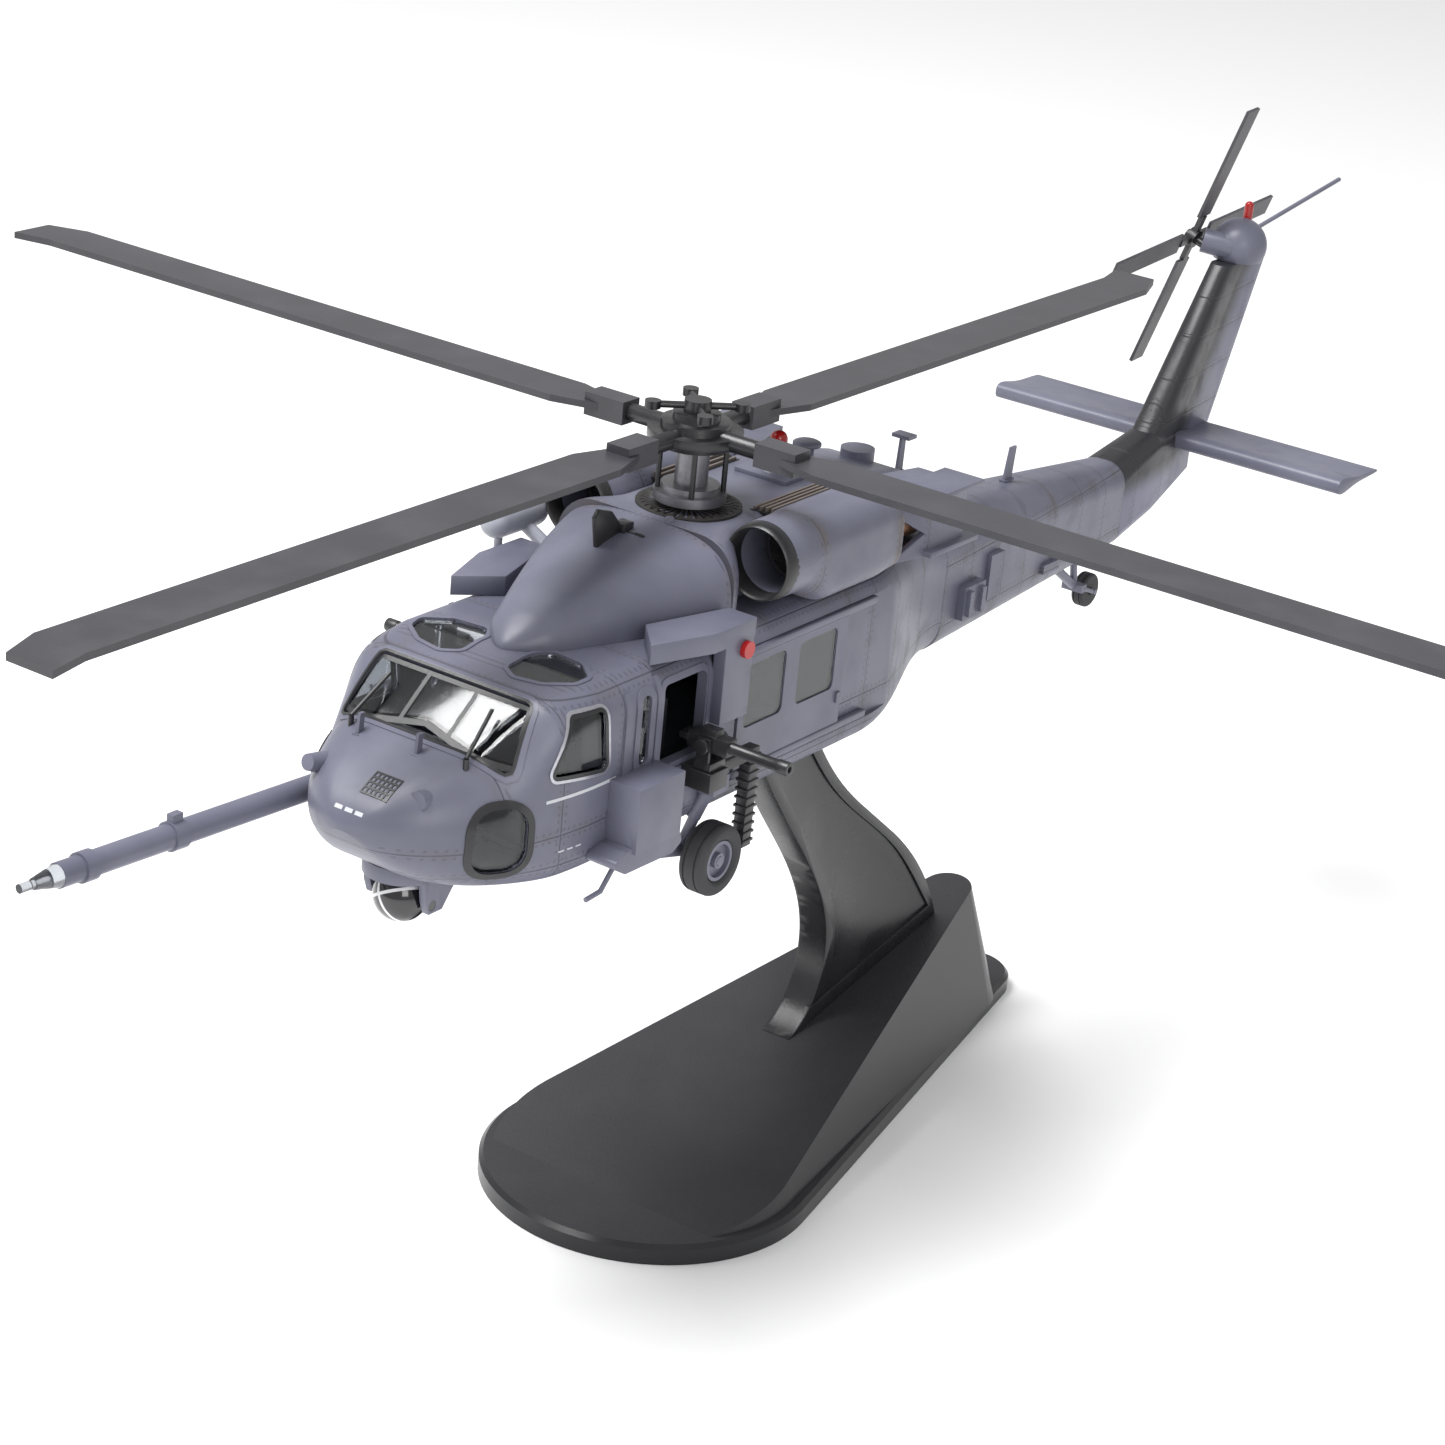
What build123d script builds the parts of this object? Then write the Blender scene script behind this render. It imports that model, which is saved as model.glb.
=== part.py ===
from build123d import *
import os
from math import cos, sin, radians, pi

# A 1:72 display model of a military utility helicopter on a black stand.
# Frame: X to the helicopter's port side, Y aft, Z up.  The origin is on the
# underside of the stand, straight below the main rotor mast.
# Fore-and-aft places are given as "stations" (mm aft of the nose tip) and heights
# as "waterlines" (mm above the level the wheels would stand on).

os.makedirs("parts", exist_ok=True)

# ---------------------------------------------------------------- whole object
NOSE_Y = -63.2              # the nose tip, station 0
WHEEL_Z = 59.0              # the wheels' level above the underside of the stand
FIT = 0.05                  # running clearance all round
SEAT = 0.02                 # gap where a placed piece rests on another

# stand
BASE_RIM = 2.8              # edge height of the base plate
BASE_FRONT_R = 23.0         # round front of the base
BASE_REAR_R = 6.6           # small round rear of the base
BASE_FRONT_S = 68.0         # centre of the round front
BASE_REAR_S = 150.0         # centre of the round rear
WEDGE_SLOPE = 0.198         # the top plane rises this much per mm aft
WEDGE_START_S = 57.0        # where the top plane leaves the rim
ARM_THICK = 4.6             # stand arm thickness across
ARM_GROOVE = 0.5            # depth of the recessed side panel

# fuselage
CABIN_HALF = 16.4           # half width of the cabin
DOOR_RECESS_HALF = 15.7     # half width behind the sliding doors
ROOF_W = 29.0               # cabin roof waterline
BELLY_W = 6.0               # belly waterline
NOSE_W = 14.0               # nose tip waterline
NOSE_TOP_W = 22.3           # top of the nose at the foot of the windscreen
SCREEN_FOOT_S = 12.7        # windscreen foot station
SCREEN_TOP_S = 19.5         # windscreen top station
SCREEN_TOP_W = 27.9         # windscreen top waterline
CABIN_FRONT_S = 27.0        # full cabin width from here aft
CABIN_END_S = 84.0          # rear end of the cabin box
BOOM_START_S = 114.0        # joint between fuselage and tail boom
BOOM_END_S = 172.0          # joint between tail boom and fin
SKIN = 1.3                  # fuselage shell thickness
BOOM_HALF = 8.6             # boom half width at its front
BOOM_END_HALF = 4.2         # boom half width at the fin
BOOM_TOP_W = 27.0
BOOM_END_TOP_W = 21.2
BOOM_LOW_W = 7.0
BOOM_END_LOW_W = 8.4

# engine deck
DECK_W = 38.7               # flat top round the mast
WELL_R = 6.7                # round well the mast stands in
INTAKE_X = 14.0             # intake centre from the centre line
INTAKE_W = 36.0
INTAKE_R = 4.9
COWL_FRONT_S = 59.5
COWL_REAR_S = 85.0

# rotors
MAST_S = 63.2
ROTOR_R = 113.6             # main rotor radius
BLADE_CHORD = 7.3
BLADE_THICK = 0.9
ROTOR_W = 48.2              # waterline of the blades
MAST_R = 1.5
TAIL_HUB_S = 202.4
TAIL_HUB_W = 49.3
TAIL_HUB_X = -5.7           # the tail rotor is on the starboard side
TAIL_ROTOR_R = 23.3
TAIL_CHORD = 3.3
TAIL_CANT = 20.0            # degrees the tail rotor leans

# running gear
MAIN_WHEEL_X = 18.9
MAIN_WHEEL_S = 47.2
MAIN_WHEEL_W = 1.9
MAIN_TYRE_R = 4.6
MAIN_TYRE_HALF = 1.75
MAIN_HUB_R = 2.6
AXLE_R = 0.6
TAIL_WHEEL_S = 171.8
TAIL_WHEEL_W = 0.4
TAIL_TYRE_R = 2.65
TAIL_TYRE_HALF = 1.0
TAIL_AXLE_R = 0.4

# guns
GUN_X = 19.6                # elevation pivot
GUN_S = 43.9
GUN_W = 18.4
GUN_POST_R = 1.1
BARREL_R = 0.75
BARREL_END_X = 31.0

# turret
BALL_R = 3.4
BALL_S = 11.4
BALL_W = 2.4
TRUNNION_R = 0.6

# doors
DOOR_FRONT_S = 54.0
DOOR_REAR_S = 77.2
DOOR_LOW_W = 10.6
DOOR_TOP_W = 25.2
DOOR_THICK = 0.7
RECESS_END_S = 92.0        # the door's recess runs out of the tapering side here


# ------------------------------------------------------------------- placing
def place(x, s, w):
    """Point in the model frame from a side offset, a station and a waterline."""
    return Vector(x, s + NOSE_Y, w + WHEEL_Z)


def block(x0, x1, s0, s1, w0, w1, mode=Mode.ADD):
    """Box between two sides, two stations and two waterlines."""
    with Locations(place((x0 + x1) / 2, (s0 + s1) / 2, (w0 + w1) / 2)):
        Box(abs(x1 - x0), abs(s1 - s0), w1 - w0, mode=mode)


def rod(start, end, radius, mode=Mode.ADD, end_radius=None):
    """Round bar, or a cone when it ends in another radius."""
    first = place(*start)
    axis = place(*end) - first
    with BuildSketch(Plane(origin=first, z_dir=axis)) as foot:
        Circle(radius)
    if end_radius is None:
        extrude(foot.sketch, amount=axis.length, mode=mode)
        return
    with BuildSketch(Plane(origin=first + axis, z_dir=axis)) as tip:
        Circle(end_radius)
    loft([foot.sketch, tip.sketch], mode=mode)


def ball(centre, radius, mode=Mode.ADD):
    with Locations(place(*centre)):
        Sphere(radius, rotation=(0, 0, 40), mode=mode)


def anticlockwise(outline):
    """The same outline, turned round if it runs clockwise."""
    pairs = zip(outline, outline[1:] + outline[:1])
    if sum(a[0] * b[1] - b[0] * a[1] for a, b in pairs) < 0:
        return outline[::-1]
    return outline


def side_slab(outline, x0, x1, mode=Mode.ADD, corner=0.0):
    """Plate standing fore and aft; the outline is in stations and waterlines."""
    with BuildSketch(Plane.YZ.offset(x0)) as face:
        with BuildLine():
            Polyline(*[(s + NOSE_Y, w + WHEEL_Z) for s, w in anticlockwise(outline)], close=True)
        make_face()
        if corner:
            fillet(face.vertices(), corner)
    extrude(face.sketch, amount=x1 - x0, mode=mode)


def flat_slab(outline, w0, w1, mode=Mode.ADD, corner=0.0):
    """Level plate; the outline is in side offsets and stations."""
    with BuildSketch(Plane.XY.offset(w0 + WHEEL_Z)) as face:
        with BuildLine():
            Polyline(*[(x, s + NOSE_Y) for x, s in anticlockwise(outline)], close=True)
        make_face()
        if corner:
            fillet(face.vertices(), corner)
    extrude(face.sketch, amount=w1 - w0, mode=mode)


def front_slab(outline, s0, s1, mode=Mode.ADD, corner=0.0):
    """Plate across the model; the outline is in side offsets and waterlines."""
    with BuildSketch(Plane.XZ.offset(-(s0 + NOSE_Y))) as face:
        with BuildLine():
            Polyline(*[(x, w + WHEEL_Z) for x, w in anticlockwise(outline)], close=True)
        make_face()
        if corner:
            fillet(face.vertices(), corner)
    extrude(face.sketch, amount=-(s1 - s0), mode=mode)


def rounded_section(s, half, low, high, low_r, high_r, middle=0.0):
    """Cross-section of a body: a box with two corner radii."""
    with BuildSketch(Plane.XZ.offset(-(s + NOSE_Y))) as section:
        with Locations((middle, WHEEL_Z + (low + high) / 2)):
            Rectangle(2 * half, high - low)
        fillet(section.vertices().group_by(Axis.Y)[-1], high_r)
        fillet(section.vertices().group_by(Axis.Y)[0], low_r)
    return section.sketch


def keep(solid, label):
    """Name a finished sub-part and write it out."""
    solid.label = label
    export_step(solid, "parts/" + label + ".step")


# ------------------------------------------------------------ fuselage shape
def blend(t):
    """Smooth step from 0 to 1."""
    t = min(max(t, 0.0), 1.0)
    return t * t * (3 - 2 * t)


def hull_half(s):
    """Half width: an ellipse to the cabin, then a smooth taper to the boom."""
    if s < CABIN_FRONT_S:
        return CABIN_HALF * (1 - (1 - s / CABIN_FRONT_S) ** 2) ** 0.5
    taper = blend((s - CABIN_END_S) / (BOOM_START_S - CABIN_END_S))
    return CABIN_HALF + (BOOM_HALF - CABIN_HALF) * taper


def hull_top(s):
    """Top line: the nose dome, the windscreen slope, the roof, the rear slope."""
    if s < SCREEN_FOOT_S:
        return NOSE_W + (NOSE_TOP_W - NOSE_W) * (s / SCREEN_FOOT_S) ** 0.45
    if s < SCREEN_TOP_S:
        rise = (s - SCREEN_FOOT_S) / (SCREEN_TOP_S - SCREEN_FOOT_S)
        return NOSE_TOP_W + (SCREEN_TOP_W - NOSE_TOP_W) * rise
    if s < CABIN_FRONT_S:
        rise = (s - SCREEN_TOP_S) / (CABIN_FRONT_S - SCREEN_TOP_S)
        return SCREEN_TOP_W + (ROOF_W - SCREEN_TOP_W) * rise
    taper = blend((s - CABIN_END_S) / (BOOM_START_S - CABIN_END_S))
    return ROOF_W + (BOOM_TOP_W - ROOF_W) * taper


def hull_low(s):
    """Belly line: curves down from the nose, flat, then up a little."""
    if s < 20:
        return NOSE_W - (NOSE_W - BELLY_W) * (1 - (1 - s / 20) ** 4)
    taper = blend((s - CABIN_END_S) / (BOOM_START_S - CABIN_END_S))
    return BELLY_W + (BOOM_LOW_W - BELLY_W) * taper


def hull_section(s, inset=0.0):
    """One cross-section of the fuselage, or of its inner surface."""
    half = hull_half(s) - inset
    low = hull_low(s) + inset
    high = hull_top(s) - inset
    limit = 0.47 * min(2 * half, high - low)
    upper = 8.0 + (4.2 - 8.0) * blend((s - SCREEN_FOOT_S) / 10) - inset
    lower = 6.5 + (3.0 - 6.5) * blend((s - 8) / 14) - inset
    rear = blend((s - CABIN_END_S) / (BOOM_START_S - CABIN_END_S))
    upper = upper + rear * 2.6
    lower = lower + rear * 2.0
    return rounded_section(s, half, low, high, min(lower, limit), min(upper, limit))


HULL_STATIONS = [0.5, 1.5, 3, 5, 8, 10.5, 12.7, 16, 19.5, 23, 27, 84, 91, 99, 107, 114]


def hull_body(inset=0.0, first=0.5, last=114.0):
    """Solid within the fuselage surface, moved inwards by the inset."""
    stations = [s for s in HULL_STATIONS if first < s < last]
    sections = [hull_section(s, inset) for s in [first, *stations, last]]
    with BuildPart() as body:
        loft(sections, ruled=True)
    return body.part


OUTER = hull_body()
INNER = hull_body(SKIN, 3.2, 112.5)


# ------------------------------------------------------------------ openings
SCREEN = [(-13.2, 20.9), (0, 22.9), (13.2, 20.9), (11.3, 27.4), (-11.3, 27.4)]
ROOF_GLASS = [
    (3.4, 24.0),
    (5.6, 22.7),
    (9.2, 23.3),
    (12.3, 25.4),
    (12.6, 27.6),
    (9.6, 30.3),
    (5.0, 30.9),
    (3.6, 28.6),
]
COCKPIT_GLASS = [(17.5, 19.7), (27.8, 18.5), (26.6, 26.8), (21.3, 26.8)]
HATCH_GLASS = [(33.5, 17.2), (35.3, 17.2), (35.3, 26.0), (33.5, 26.0)]
GUNNER_GAP = [(37.8, 15.8), (46.4, 15.8), (46.4, 26.2), (37.8, 26.2)]
DOOR_GAP = [(55.6, 12.2), (75.6, 12.2), (75.6, 24.2), (55.6, 24.2)]
CHIN_TILT = (1.0, -0.42, -0.12)     # the way the chin window faces
CHIN_CENTRE = (13.4, 12.0, 13.2)


def screen_prism(gap=0.0):
    """Volume of the windscreen opening, made smaller all round by a gap."""
    with BuildPart() as prism:
        with BuildSketch(Plane.XZ.offset(-(4 + NOSE_Y))) as face:
            with BuildLine():
                Polyline(*[(x, w + WHEEL_Z) for x, w in anticlockwise(SCREEN)], close=True)
            make_face()
            if gap:
                offset(amount=-gap)
        extrude(amount=-15)
    return prism.part


def side_prism(outline, side, gap=0.0, corner=1.0):
    """Volume of a side opening from inside the cabin outwards."""
    with BuildPart() as prism:
        with BuildSketch(Plane.YZ.offset(side * 8)) as face:
            with BuildLine():
                Polyline(*[(s + NOSE_Y, w + WHEEL_Z) for s, w in anticlockwise(outline)], close=True)
            make_face()
            fillet(face.vertices(), corner)
            if gap:
                offset(amount=-gap)
        extrude(amount=side * 12)
    return prism.part


def roof_prism(side, gap=0.0):
    outline = anticlockwise([(side * x, s + NOSE_Y) for x, s in ROOF_GLASS])
    with BuildPart() as prism:
        with BuildSketch(Plane.XY.offset(WHEEL_Z + 22)) as face:
            with BuildLine():
                Polyline(*outline, close=True)
            make_face()
            fillet(face.vertices(), 1.2)
            if gap:
                offset(amount=-gap)
        extrude(amount=10)
    return prism.part


def chin_prism(side, gap=0.0):
    x, s, w = CHIN_CENTRE
    facing = Vector(side * CHIN_TILT[0], CHIN_TILT[1], CHIN_TILT[2])
    face_plane = Plane(origin=place(side * x, s, w), x_dir=Vector(0.42 * side, 1, 0), z_dir=facing)
    with BuildPart() as prism:
        with BuildSketch(face_plane) as face:
            RectangleRounded(7.2, 8.0, 2.8)
            if gap:
                offset(amount=-gap)
        extrude(amount=5, both=True)
    return prism.part


# ------------------------------------------------------------------- the stand
def base_outline(level, front_r, rear_r, rear_s):
    """Tapered plan shape: a large round front joined to a small round rear."""
    lean = (front_r - rear_r) / (rear_s - BASE_FRONT_S)
    flat = (1 - lean * lean) ** 0.5
    front = Vector(0, BASE_FRONT_S + NOSE_Y)
    rear = Vector(0, rear_s + NOSE_Y)
    a = front + Vector(front_r * flat, front_r * lean)
    b = rear + Vector(rear_r * flat, rear_r * lean)
    with BuildSketch(Plane.XY.offset(level)) as plan:
        with BuildLine():
            Line((a.X, a.Y), (b.X, b.Y))
            ThreePointArc((b.X, b.Y), (0, rear.Y + rear_r), (-b.X, b.Y))
            Line((-b.X, b.Y), (-a.X, a.Y))
            ThreePointArc((-a.X, a.Y), (0, front.Y - front_r), (a.X, a.Y))
        make_face()
    return plan.sketch


TENON = (104.0, 126.0)      # stations of the arm's tenon in the base
TENON_HALF = 1.5
SCREW_S = (109.0, 121.0)
SCREW_R = 0.9


def wedge_height(s):
    """Height of the sloping top plane of the base above its underside."""
    return BASE_RIM + (s - WEDGE_START_S) * WEDGE_SLOPE


with BuildPart() as stand_base:
    extrude(base_outline(0, BASE_FRONT_R, BASE_REAR_R, BASE_REAR_S), amount=BASE_RIM)
    chamfer(stand_base.faces().sort_by(Axis.Z)[-1].edges(), 0.6)
    extrude(base_outline(BASE_RIM - 0.7, 21.6, 9.0, 141.0), amount=19, taper=17)
    with BuildSketch(Plane.YZ.offset(-40)) as above:
        with BuildLine():
            Polyline(
                (20 + NOSE_Y, BASE_RIM - 0.001),
                (WEDGE_START_S + NOSE_Y, BASE_RIM - 0.001),
                (160 + NOSE_Y, wedge_height(160)),
                (160 + NOSE_Y, 40),
                (20 + NOSE_Y, 40),
                close=True,
            )
        make_face()
    extrude(amount=80, mode=Mode.SUBTRACT)
    # slot for the arm's tenon, open upwards
    with Locations((0, sum(TENON) / 2 + NOSE_Y, 15)):
        Box(2 * TENON_HALF + 2 * FIT, TENON[1] - TENON[0] + 2 * FIT, 18, mode=Mode.SUBTRACT)
    # screw holes from below with room for the heads
    for s in SCREW_S:
        with Locations((0, s + NOSE_Y, 0)):
            Cylinder(SCREW_R + FIT, 14, mode=Mode.SUBTRACT)
            Cylinder(2 * SCREW_R + FIT, 4.0, mode=Mode.SUBTRACT)
keep(stand_base.part, "stand_base")


ARM_TOP_W = BELLY_W - SEAT
PEG = (79.5, 88.5)          # stations of the peg that enters the belly
PEG_HALF = 1.5
PEG_TOP_W = 11.0


def arm_outline(inset=0.0):
    """Side shape of the arm: two S-curves between the belly and the foot."""
    front_top = (77.2, ARM_TOP_W)
    front = [(83.4, -3.2), (91.4, -13.7), (99.9, -24.8), (104.0, -35.0), (103.2, -42.0)]
    toe = (97.0, -48.2)
    heel = (134.0, WEDGE_SLOPE * (134.0 - 97.0) - 48.2)
    rear = [(130.0, -34.0), (122.8, -26.1), (113.3, -18.6), (103.4, -10.5), (97.0, -3.2)]
    rear_top = (91.5, ARM_TOP_W)
    fore = [(s + inset, w) for s, w in [front_top, *front]]
    fore[0] = (front_top[0] + inset * 0.6, ARM_TOP_W - inset)
    fore.append((toe[0] + 1.9 * inset, toe[1] + 1.5 * inset))
    aft = [(s - inset, w) for s, w in rear]
    aft.insert(0, (heel[0] - inset, heel[1] + 0.9 * inset))
    aft.append((rear_top[0] - inset * 0.8, ARM_TOP_W - inset))
    with BuildSketch(Plane.YZ) as shape:
        with BuildLine():
            down = [(s + NOSE_Y, w + WHEEL_Z) for s, w in fore]
            up = [(s + NOSE_Y, w + WHEEL_Z) for s, w in aft]
            Spline(*down)
            Line(down[-1], up[0])
            Spline(*up)
            Line(up[-1], down[0])
        make_face()
    return shape.sketch


TENON_FOOT_W = BASE_RIM + 4.0 - WHEEL_Z

ARM_PANEL = arm_outline(2.2)

with BuildPart() as stand_arm:
    extrude(arm_outline(), amount=ARM_THICK / 2, both=True)
    # the foot follows the sloping top plane
    side_slab(
        [
            (90, wedge_height(90) + SEAT - WHEEL_Z),
            (140, wedge_height(140) + SEAT - WHEEL_Z),
            (140, -WHEEL_Z),
            (90, -WHEEL_Z),
        ],
        -10,
        10,
        Mode.SUBTRACT,
    )
    # recessed panel on each side, inside a raised rim
    for side in (-1, 1):
        groove = extrude(ARM_PANEL, amount=side * 4, mode=Mode.PRIVATE)
        groove_floor = side * (ARM_THICK / 2 - ARM_GROOVE)
        add(groove.moved(Location((groove_floor, 0, 0))), mode=Mode.SUBTRACT)
    # tenon into the base and peg into the belly
    block(-TENON_HALF, TENON_HALF, TENON[0], TENON[1], TENON_FOOT_W, -42)
    block(-PEG_HALF, PEG_HALF, PEG[0], PEG[1], 2, PEG_TOP_W)
    # pilot holes for the screws
    for s in SCREW_S:
        rod((0, s, TENON_FOOT_W - 1), (0, s, TENON_FOOT_W + 5), SCREW_R - 0.2, Mode.SUBTRACT)
keep(stand_arm.part, "stand_arm")


with BuildPart() as stand_screws:
    head_w = 0.2 - WHEEL_Z
    for s in SCREW_S:
        rod((0, s, head_w), (0, s, head_w + 1.75), 2 * SCREW_R - 0.1)
        rod((0, s, head_w + 1.7), (0, s, TENON_FOOT_W + 3), SCREW_R - 0.25)
keep(stand_screws.part, "stand_screws")


# -------------------------------------------------------------- the fuselage
# The probe tube enters the starboard side of the nose.
PROBE_ROOT = (-13.6, 17.5, 11.5)
PROBE_TIP = (-15.5, -29.0, 12.5)
PROBE_R = 1.5

with BuildPart() as hull_cuts:
    # recess behind each sliding door and its rails, open to the rear
    for side in (-1, 1):
        x0 = side * DOOR_RECESS_HALF
        block(x0, side * 20, DOOR_FRONT_S - 0.6, RECESS_END_S, DOOR_LOW_W - 1.2, DOOR_TOP_W + 1.2)
    # belly slot for the stand's peg
    peg_half = PEG_HALF + FIT
    block(-peg_half, peg_half, PEG[0] - FIT, PEG[1] + FIT, 4, 9)
    # mast hole through the roof
    rod((0, MAST_S, 25), (0, MAST_S, 32), 2.6)

with BuildPart() as fuselage_port:
    add(OUTER)
    add(INNER, mode=Mode.SUBTRACT)
    split(bisect_by=Plane.YZ.offset(SEAT / 2), keep=Keep.TOP)
    add(hull_cuts.part, mode=Mode.SUBTRACT)
    add(screen_prism(), mode=Mode.SUBTRACT)
    add(roof_prism(1), mode=Mode.SUBTRACT)
    add(chin_prism(1), mode=Mode.SUBTRACT)
    for opening, radius in ((COCKPIT_GLASS, 1.0), (HATCH_GLASS, 0.8), (GUNNER_GAP, 0.9), (DOOR_GAP, 1.2)):
        add(side_prism(opening, 1, corner=radius), mode=Mode.SUBTRACT)
    # rear opening for the boom's spigot
    block(-5.4, 5.4, 111, 116, 10.5, 23.5, Mode.SUBTRACT)
    # drip strip, vent dome and cutter stub moulded on the roof
    block(9.8, 10.6, 31.4, 36.6, ROOF_W - 0.1, ROOF_W + 0.7)
    rod((12.6, 33.6, ROOF_W - 0.1), (12.6, 33.6, ROOF_W + 0.5), 1.2)
    block(2.4, 2.8, 24.0, 25.0, 28.0, 30.4)
keep(fuselage_port.part, "fuselage_port")

with BuildPart() as fuselage_starboard:
    add(fuselage_port.part.mirror(Plane.YZ))
    # bore for the refuelling probe
    rod(PROBE_ROOT, PROBE_TIP, PROBE_R + SEAT, Mode.SUBTRACT)
keep(fuselage_starboard.part, "fuselage_starboard")


# --------------------------------------------------------------- clear parts
GLASS_OUT = 0.25            # glass lies this far inside the outer surface
GLASS_IN = 0.85

with BuildPart() as glass_shell:
    add(hull_body(GLASS_OUT, 1.5, 60.0))
    add(hull_body(GLASS_IN, 2.5, 59.0), mode=Mode.SUBTRACT)

POST_X = 3.6                # windscreen posts either side of the centre pane
POST_HALF = 0.28
FRAME_WIDE = 0.55

SCREEN_PANES = screen_prism(FRAME_WIDE)


def both_sides(half):
    """A port piece together with its mirror image."""
    return half + half.mirror(Plane.YZ)


with BuildPart() as half_glass:
    add(glass_shell.part)
    split(bisect_by=Plane.YZ, keep=Keep.TOP)

with BuildPart() as post_prism:
    block(POST_X - POST_HALF, POST_X + POST_HALF, 4, 20, 19, 30)

with BuildPart() as half_frame:
    # black border and a slim post
    add(half_glass.part & screen_prism(SEAT))
    add(SCREEN_PANES, mode=Mode.SUBTRACT)
    add(half_glass.part & SCREEN_PANES & post_prism.part)

with BuildPart() as windscreen_frame:
    add(both_sides(half_frame.part))
keep(windscreen_frame.part, "windscreen_frame")

with BuildPart() as half_screen:
    add(half_glass.part & screen_prism(FRAME_WIDE + SEAT))
    block(POST_X - POST_HALF - SEAT, POST_X + POST_HALF + SEAT, 4, 20, 18, 30, Mode.SUBTRACT)

with BuildPart() as windscreen:
    add(both_sides(half_screen.part))
keep(windscreen.part, "windscreen")

with BuildPart() as roof_windows:
    add(both_sides(half_glass.part & roof_prism(1, SEAT)))
keep(roof_windows.part, "roof_windows")

with BuildPart() as half_side_glass:
    # chin, cockpit door and gunner's hatch panes
    add(half_glass.part & chin_prism(1, SEAT))
    add(half_glass.part & side_prism(COCKPIT_GLASS, 1, SEAT))
    add(half_glass.part & side_prism(HATCH_GLASS, 1, SEAT, 0.8))

with BuildPart() as side_windows:
    add(both_sides(half_side_glass.part))
    # the probe passes the lower edge of the starboard chin pane
    rod(PROBE_ROOT, PROBE_TIP, PROBE_R + 2 * SEAT, Mode.SUBTRACT)
keep(side_windows.part, "side_windows")


# ------------------------------------------------------------------ interior
FLOOR_W = 7.8
with BuildPart() as cabin_floor:
    floor_low = BELLY_W + SKIN
    block(-13.4, 13.4, 21, 80.5, FLOOR_W, FLOOR_W + 0.9)
    for side in (-1, 1):
        block(side * 5, side * 6.2, 22, 78, floor_low, FLOOR_W)
    # socket that takes the stand's peg, and the rear bulkhead
    block(-4, 4, 75, 92, floor_low, PEG_TOP_W + 2.0)
    block(
        -PEG_HALF - FIT,
        PEG_HALF + FIT,
        PEG[0] - FIT,
        PEG[1] + FIT,
        5,
        PEG_TOP_W + FIT,
        Mode.SUBTRACT,
    )
    front_slab([(-14, 9.5), (14, 9.5), (14, 26.2), (-14, 26.2)], 77.3, 78.4, corner=2.0)
    add(fuselage_port.part, mode=Mode.SUBTRACT)
    add(fuselage_starboard.part, mode=Mode.SUBTRACT)
keep(cabin_floor.part, "cabin_floor")


def seat(x, s, back):
    """Cushion, back and headrest on a short pedestal; back is +1 when facing forward."""
    top = FLOOR_W + 0.9
    block(x - 1.6, x + 1.6, s - 1.6, s + 1.6, top, top + 1.6)
    block(x - 2.6, x + 2.6, s - 2.6, s + 2.8, top + 1.5, top + 3.2)
    back_s = s + back * 2.2
    block(x - 2.6, x + 2.6, back_s - 0.8, back_s + 0.8, top + 3.0, top + 11.0)
    block(x - 1.3, x + 1.3, back_s - 0.7, back_s + 0.7, top + 10.9, top + 13.0)


with BuildPart() as seats:
    for x in (-7.0, 7.0):
        seat(x, 27.0, 1)
        seat(x, 50.0, -1)
keep(seats.part, "seats")

with BuildPart() as instrument_panel:
    side_slab([(21.4, 8.72), (22.6, 8.72), (21.6, 16.6), (18.6, 19.6), (17.6, 18.9)], -9.4, 9.4)
    # centre pedestal between the seats
    block(-1.8, 1.8, 21.5, 28.5, FLOOR_W + 0.92, FLOOR_W + 4.4)
keep(instrument_panel.part, "instrument_panel")


# ---------------------------------------------------------------- upper deck
ROOF_SEAT = ROOF_W + SEAT


def fairing(sections, corner=0.93):
    """Domed body over the roof from stations with half widths and top lines."""
    faces = []
    for s, half, high in sections:
        radius = corner * min(half, high - ROOF_SEAT - 0.3)
        with BuildSketch(Plane.XZ.offset(-(s + NOSE_Y))) as section:
            with Locations((0, WHEEL_Z + (ROOF_SEAT + high) / 2)):
                Rectangle(2 * half, high - ROOF_SEAT)
            fillet(section.vertices().group_by(Axis.Y)[-1], radius)
        faces.append(section.sketch)
    return faces


DECK_SPLIT_S = 54.6         # seam between the front fairing and the rotor deck
AFT_SPLIT_S = 91.0          # seam between the rotor deck and the aft fairing


def deck_line(s):
    """Half width and top waterline of the front fairing."""
    t = (s - 27.2) / (DECK_SPLIT_S - 27.2)
    return 13.6 * (0.12 + 0.88 * t ** 0.75), 30.4 + (DECK_W + 0.3 - 30.4) * sin(t * pi / 2) ** 0.8


with BuildPart() as deck_fairing:
    stations = [27.6, 29, 31.5, 35, 40, 46, 51, DECK_SPLIT_S - SEAT]
    loft(fairing([(s, *deck_line(s)) for s in stations]), ruled=True)
    # upper cable cutter on the centre line
    side_slab([(44.6, 36.5), (49.6, 38.0), (46.6, 41.6), (44.2, 42.2)], -0.3, 0.3)
keep(deck_fairing.part, "deck_fairing")

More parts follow.
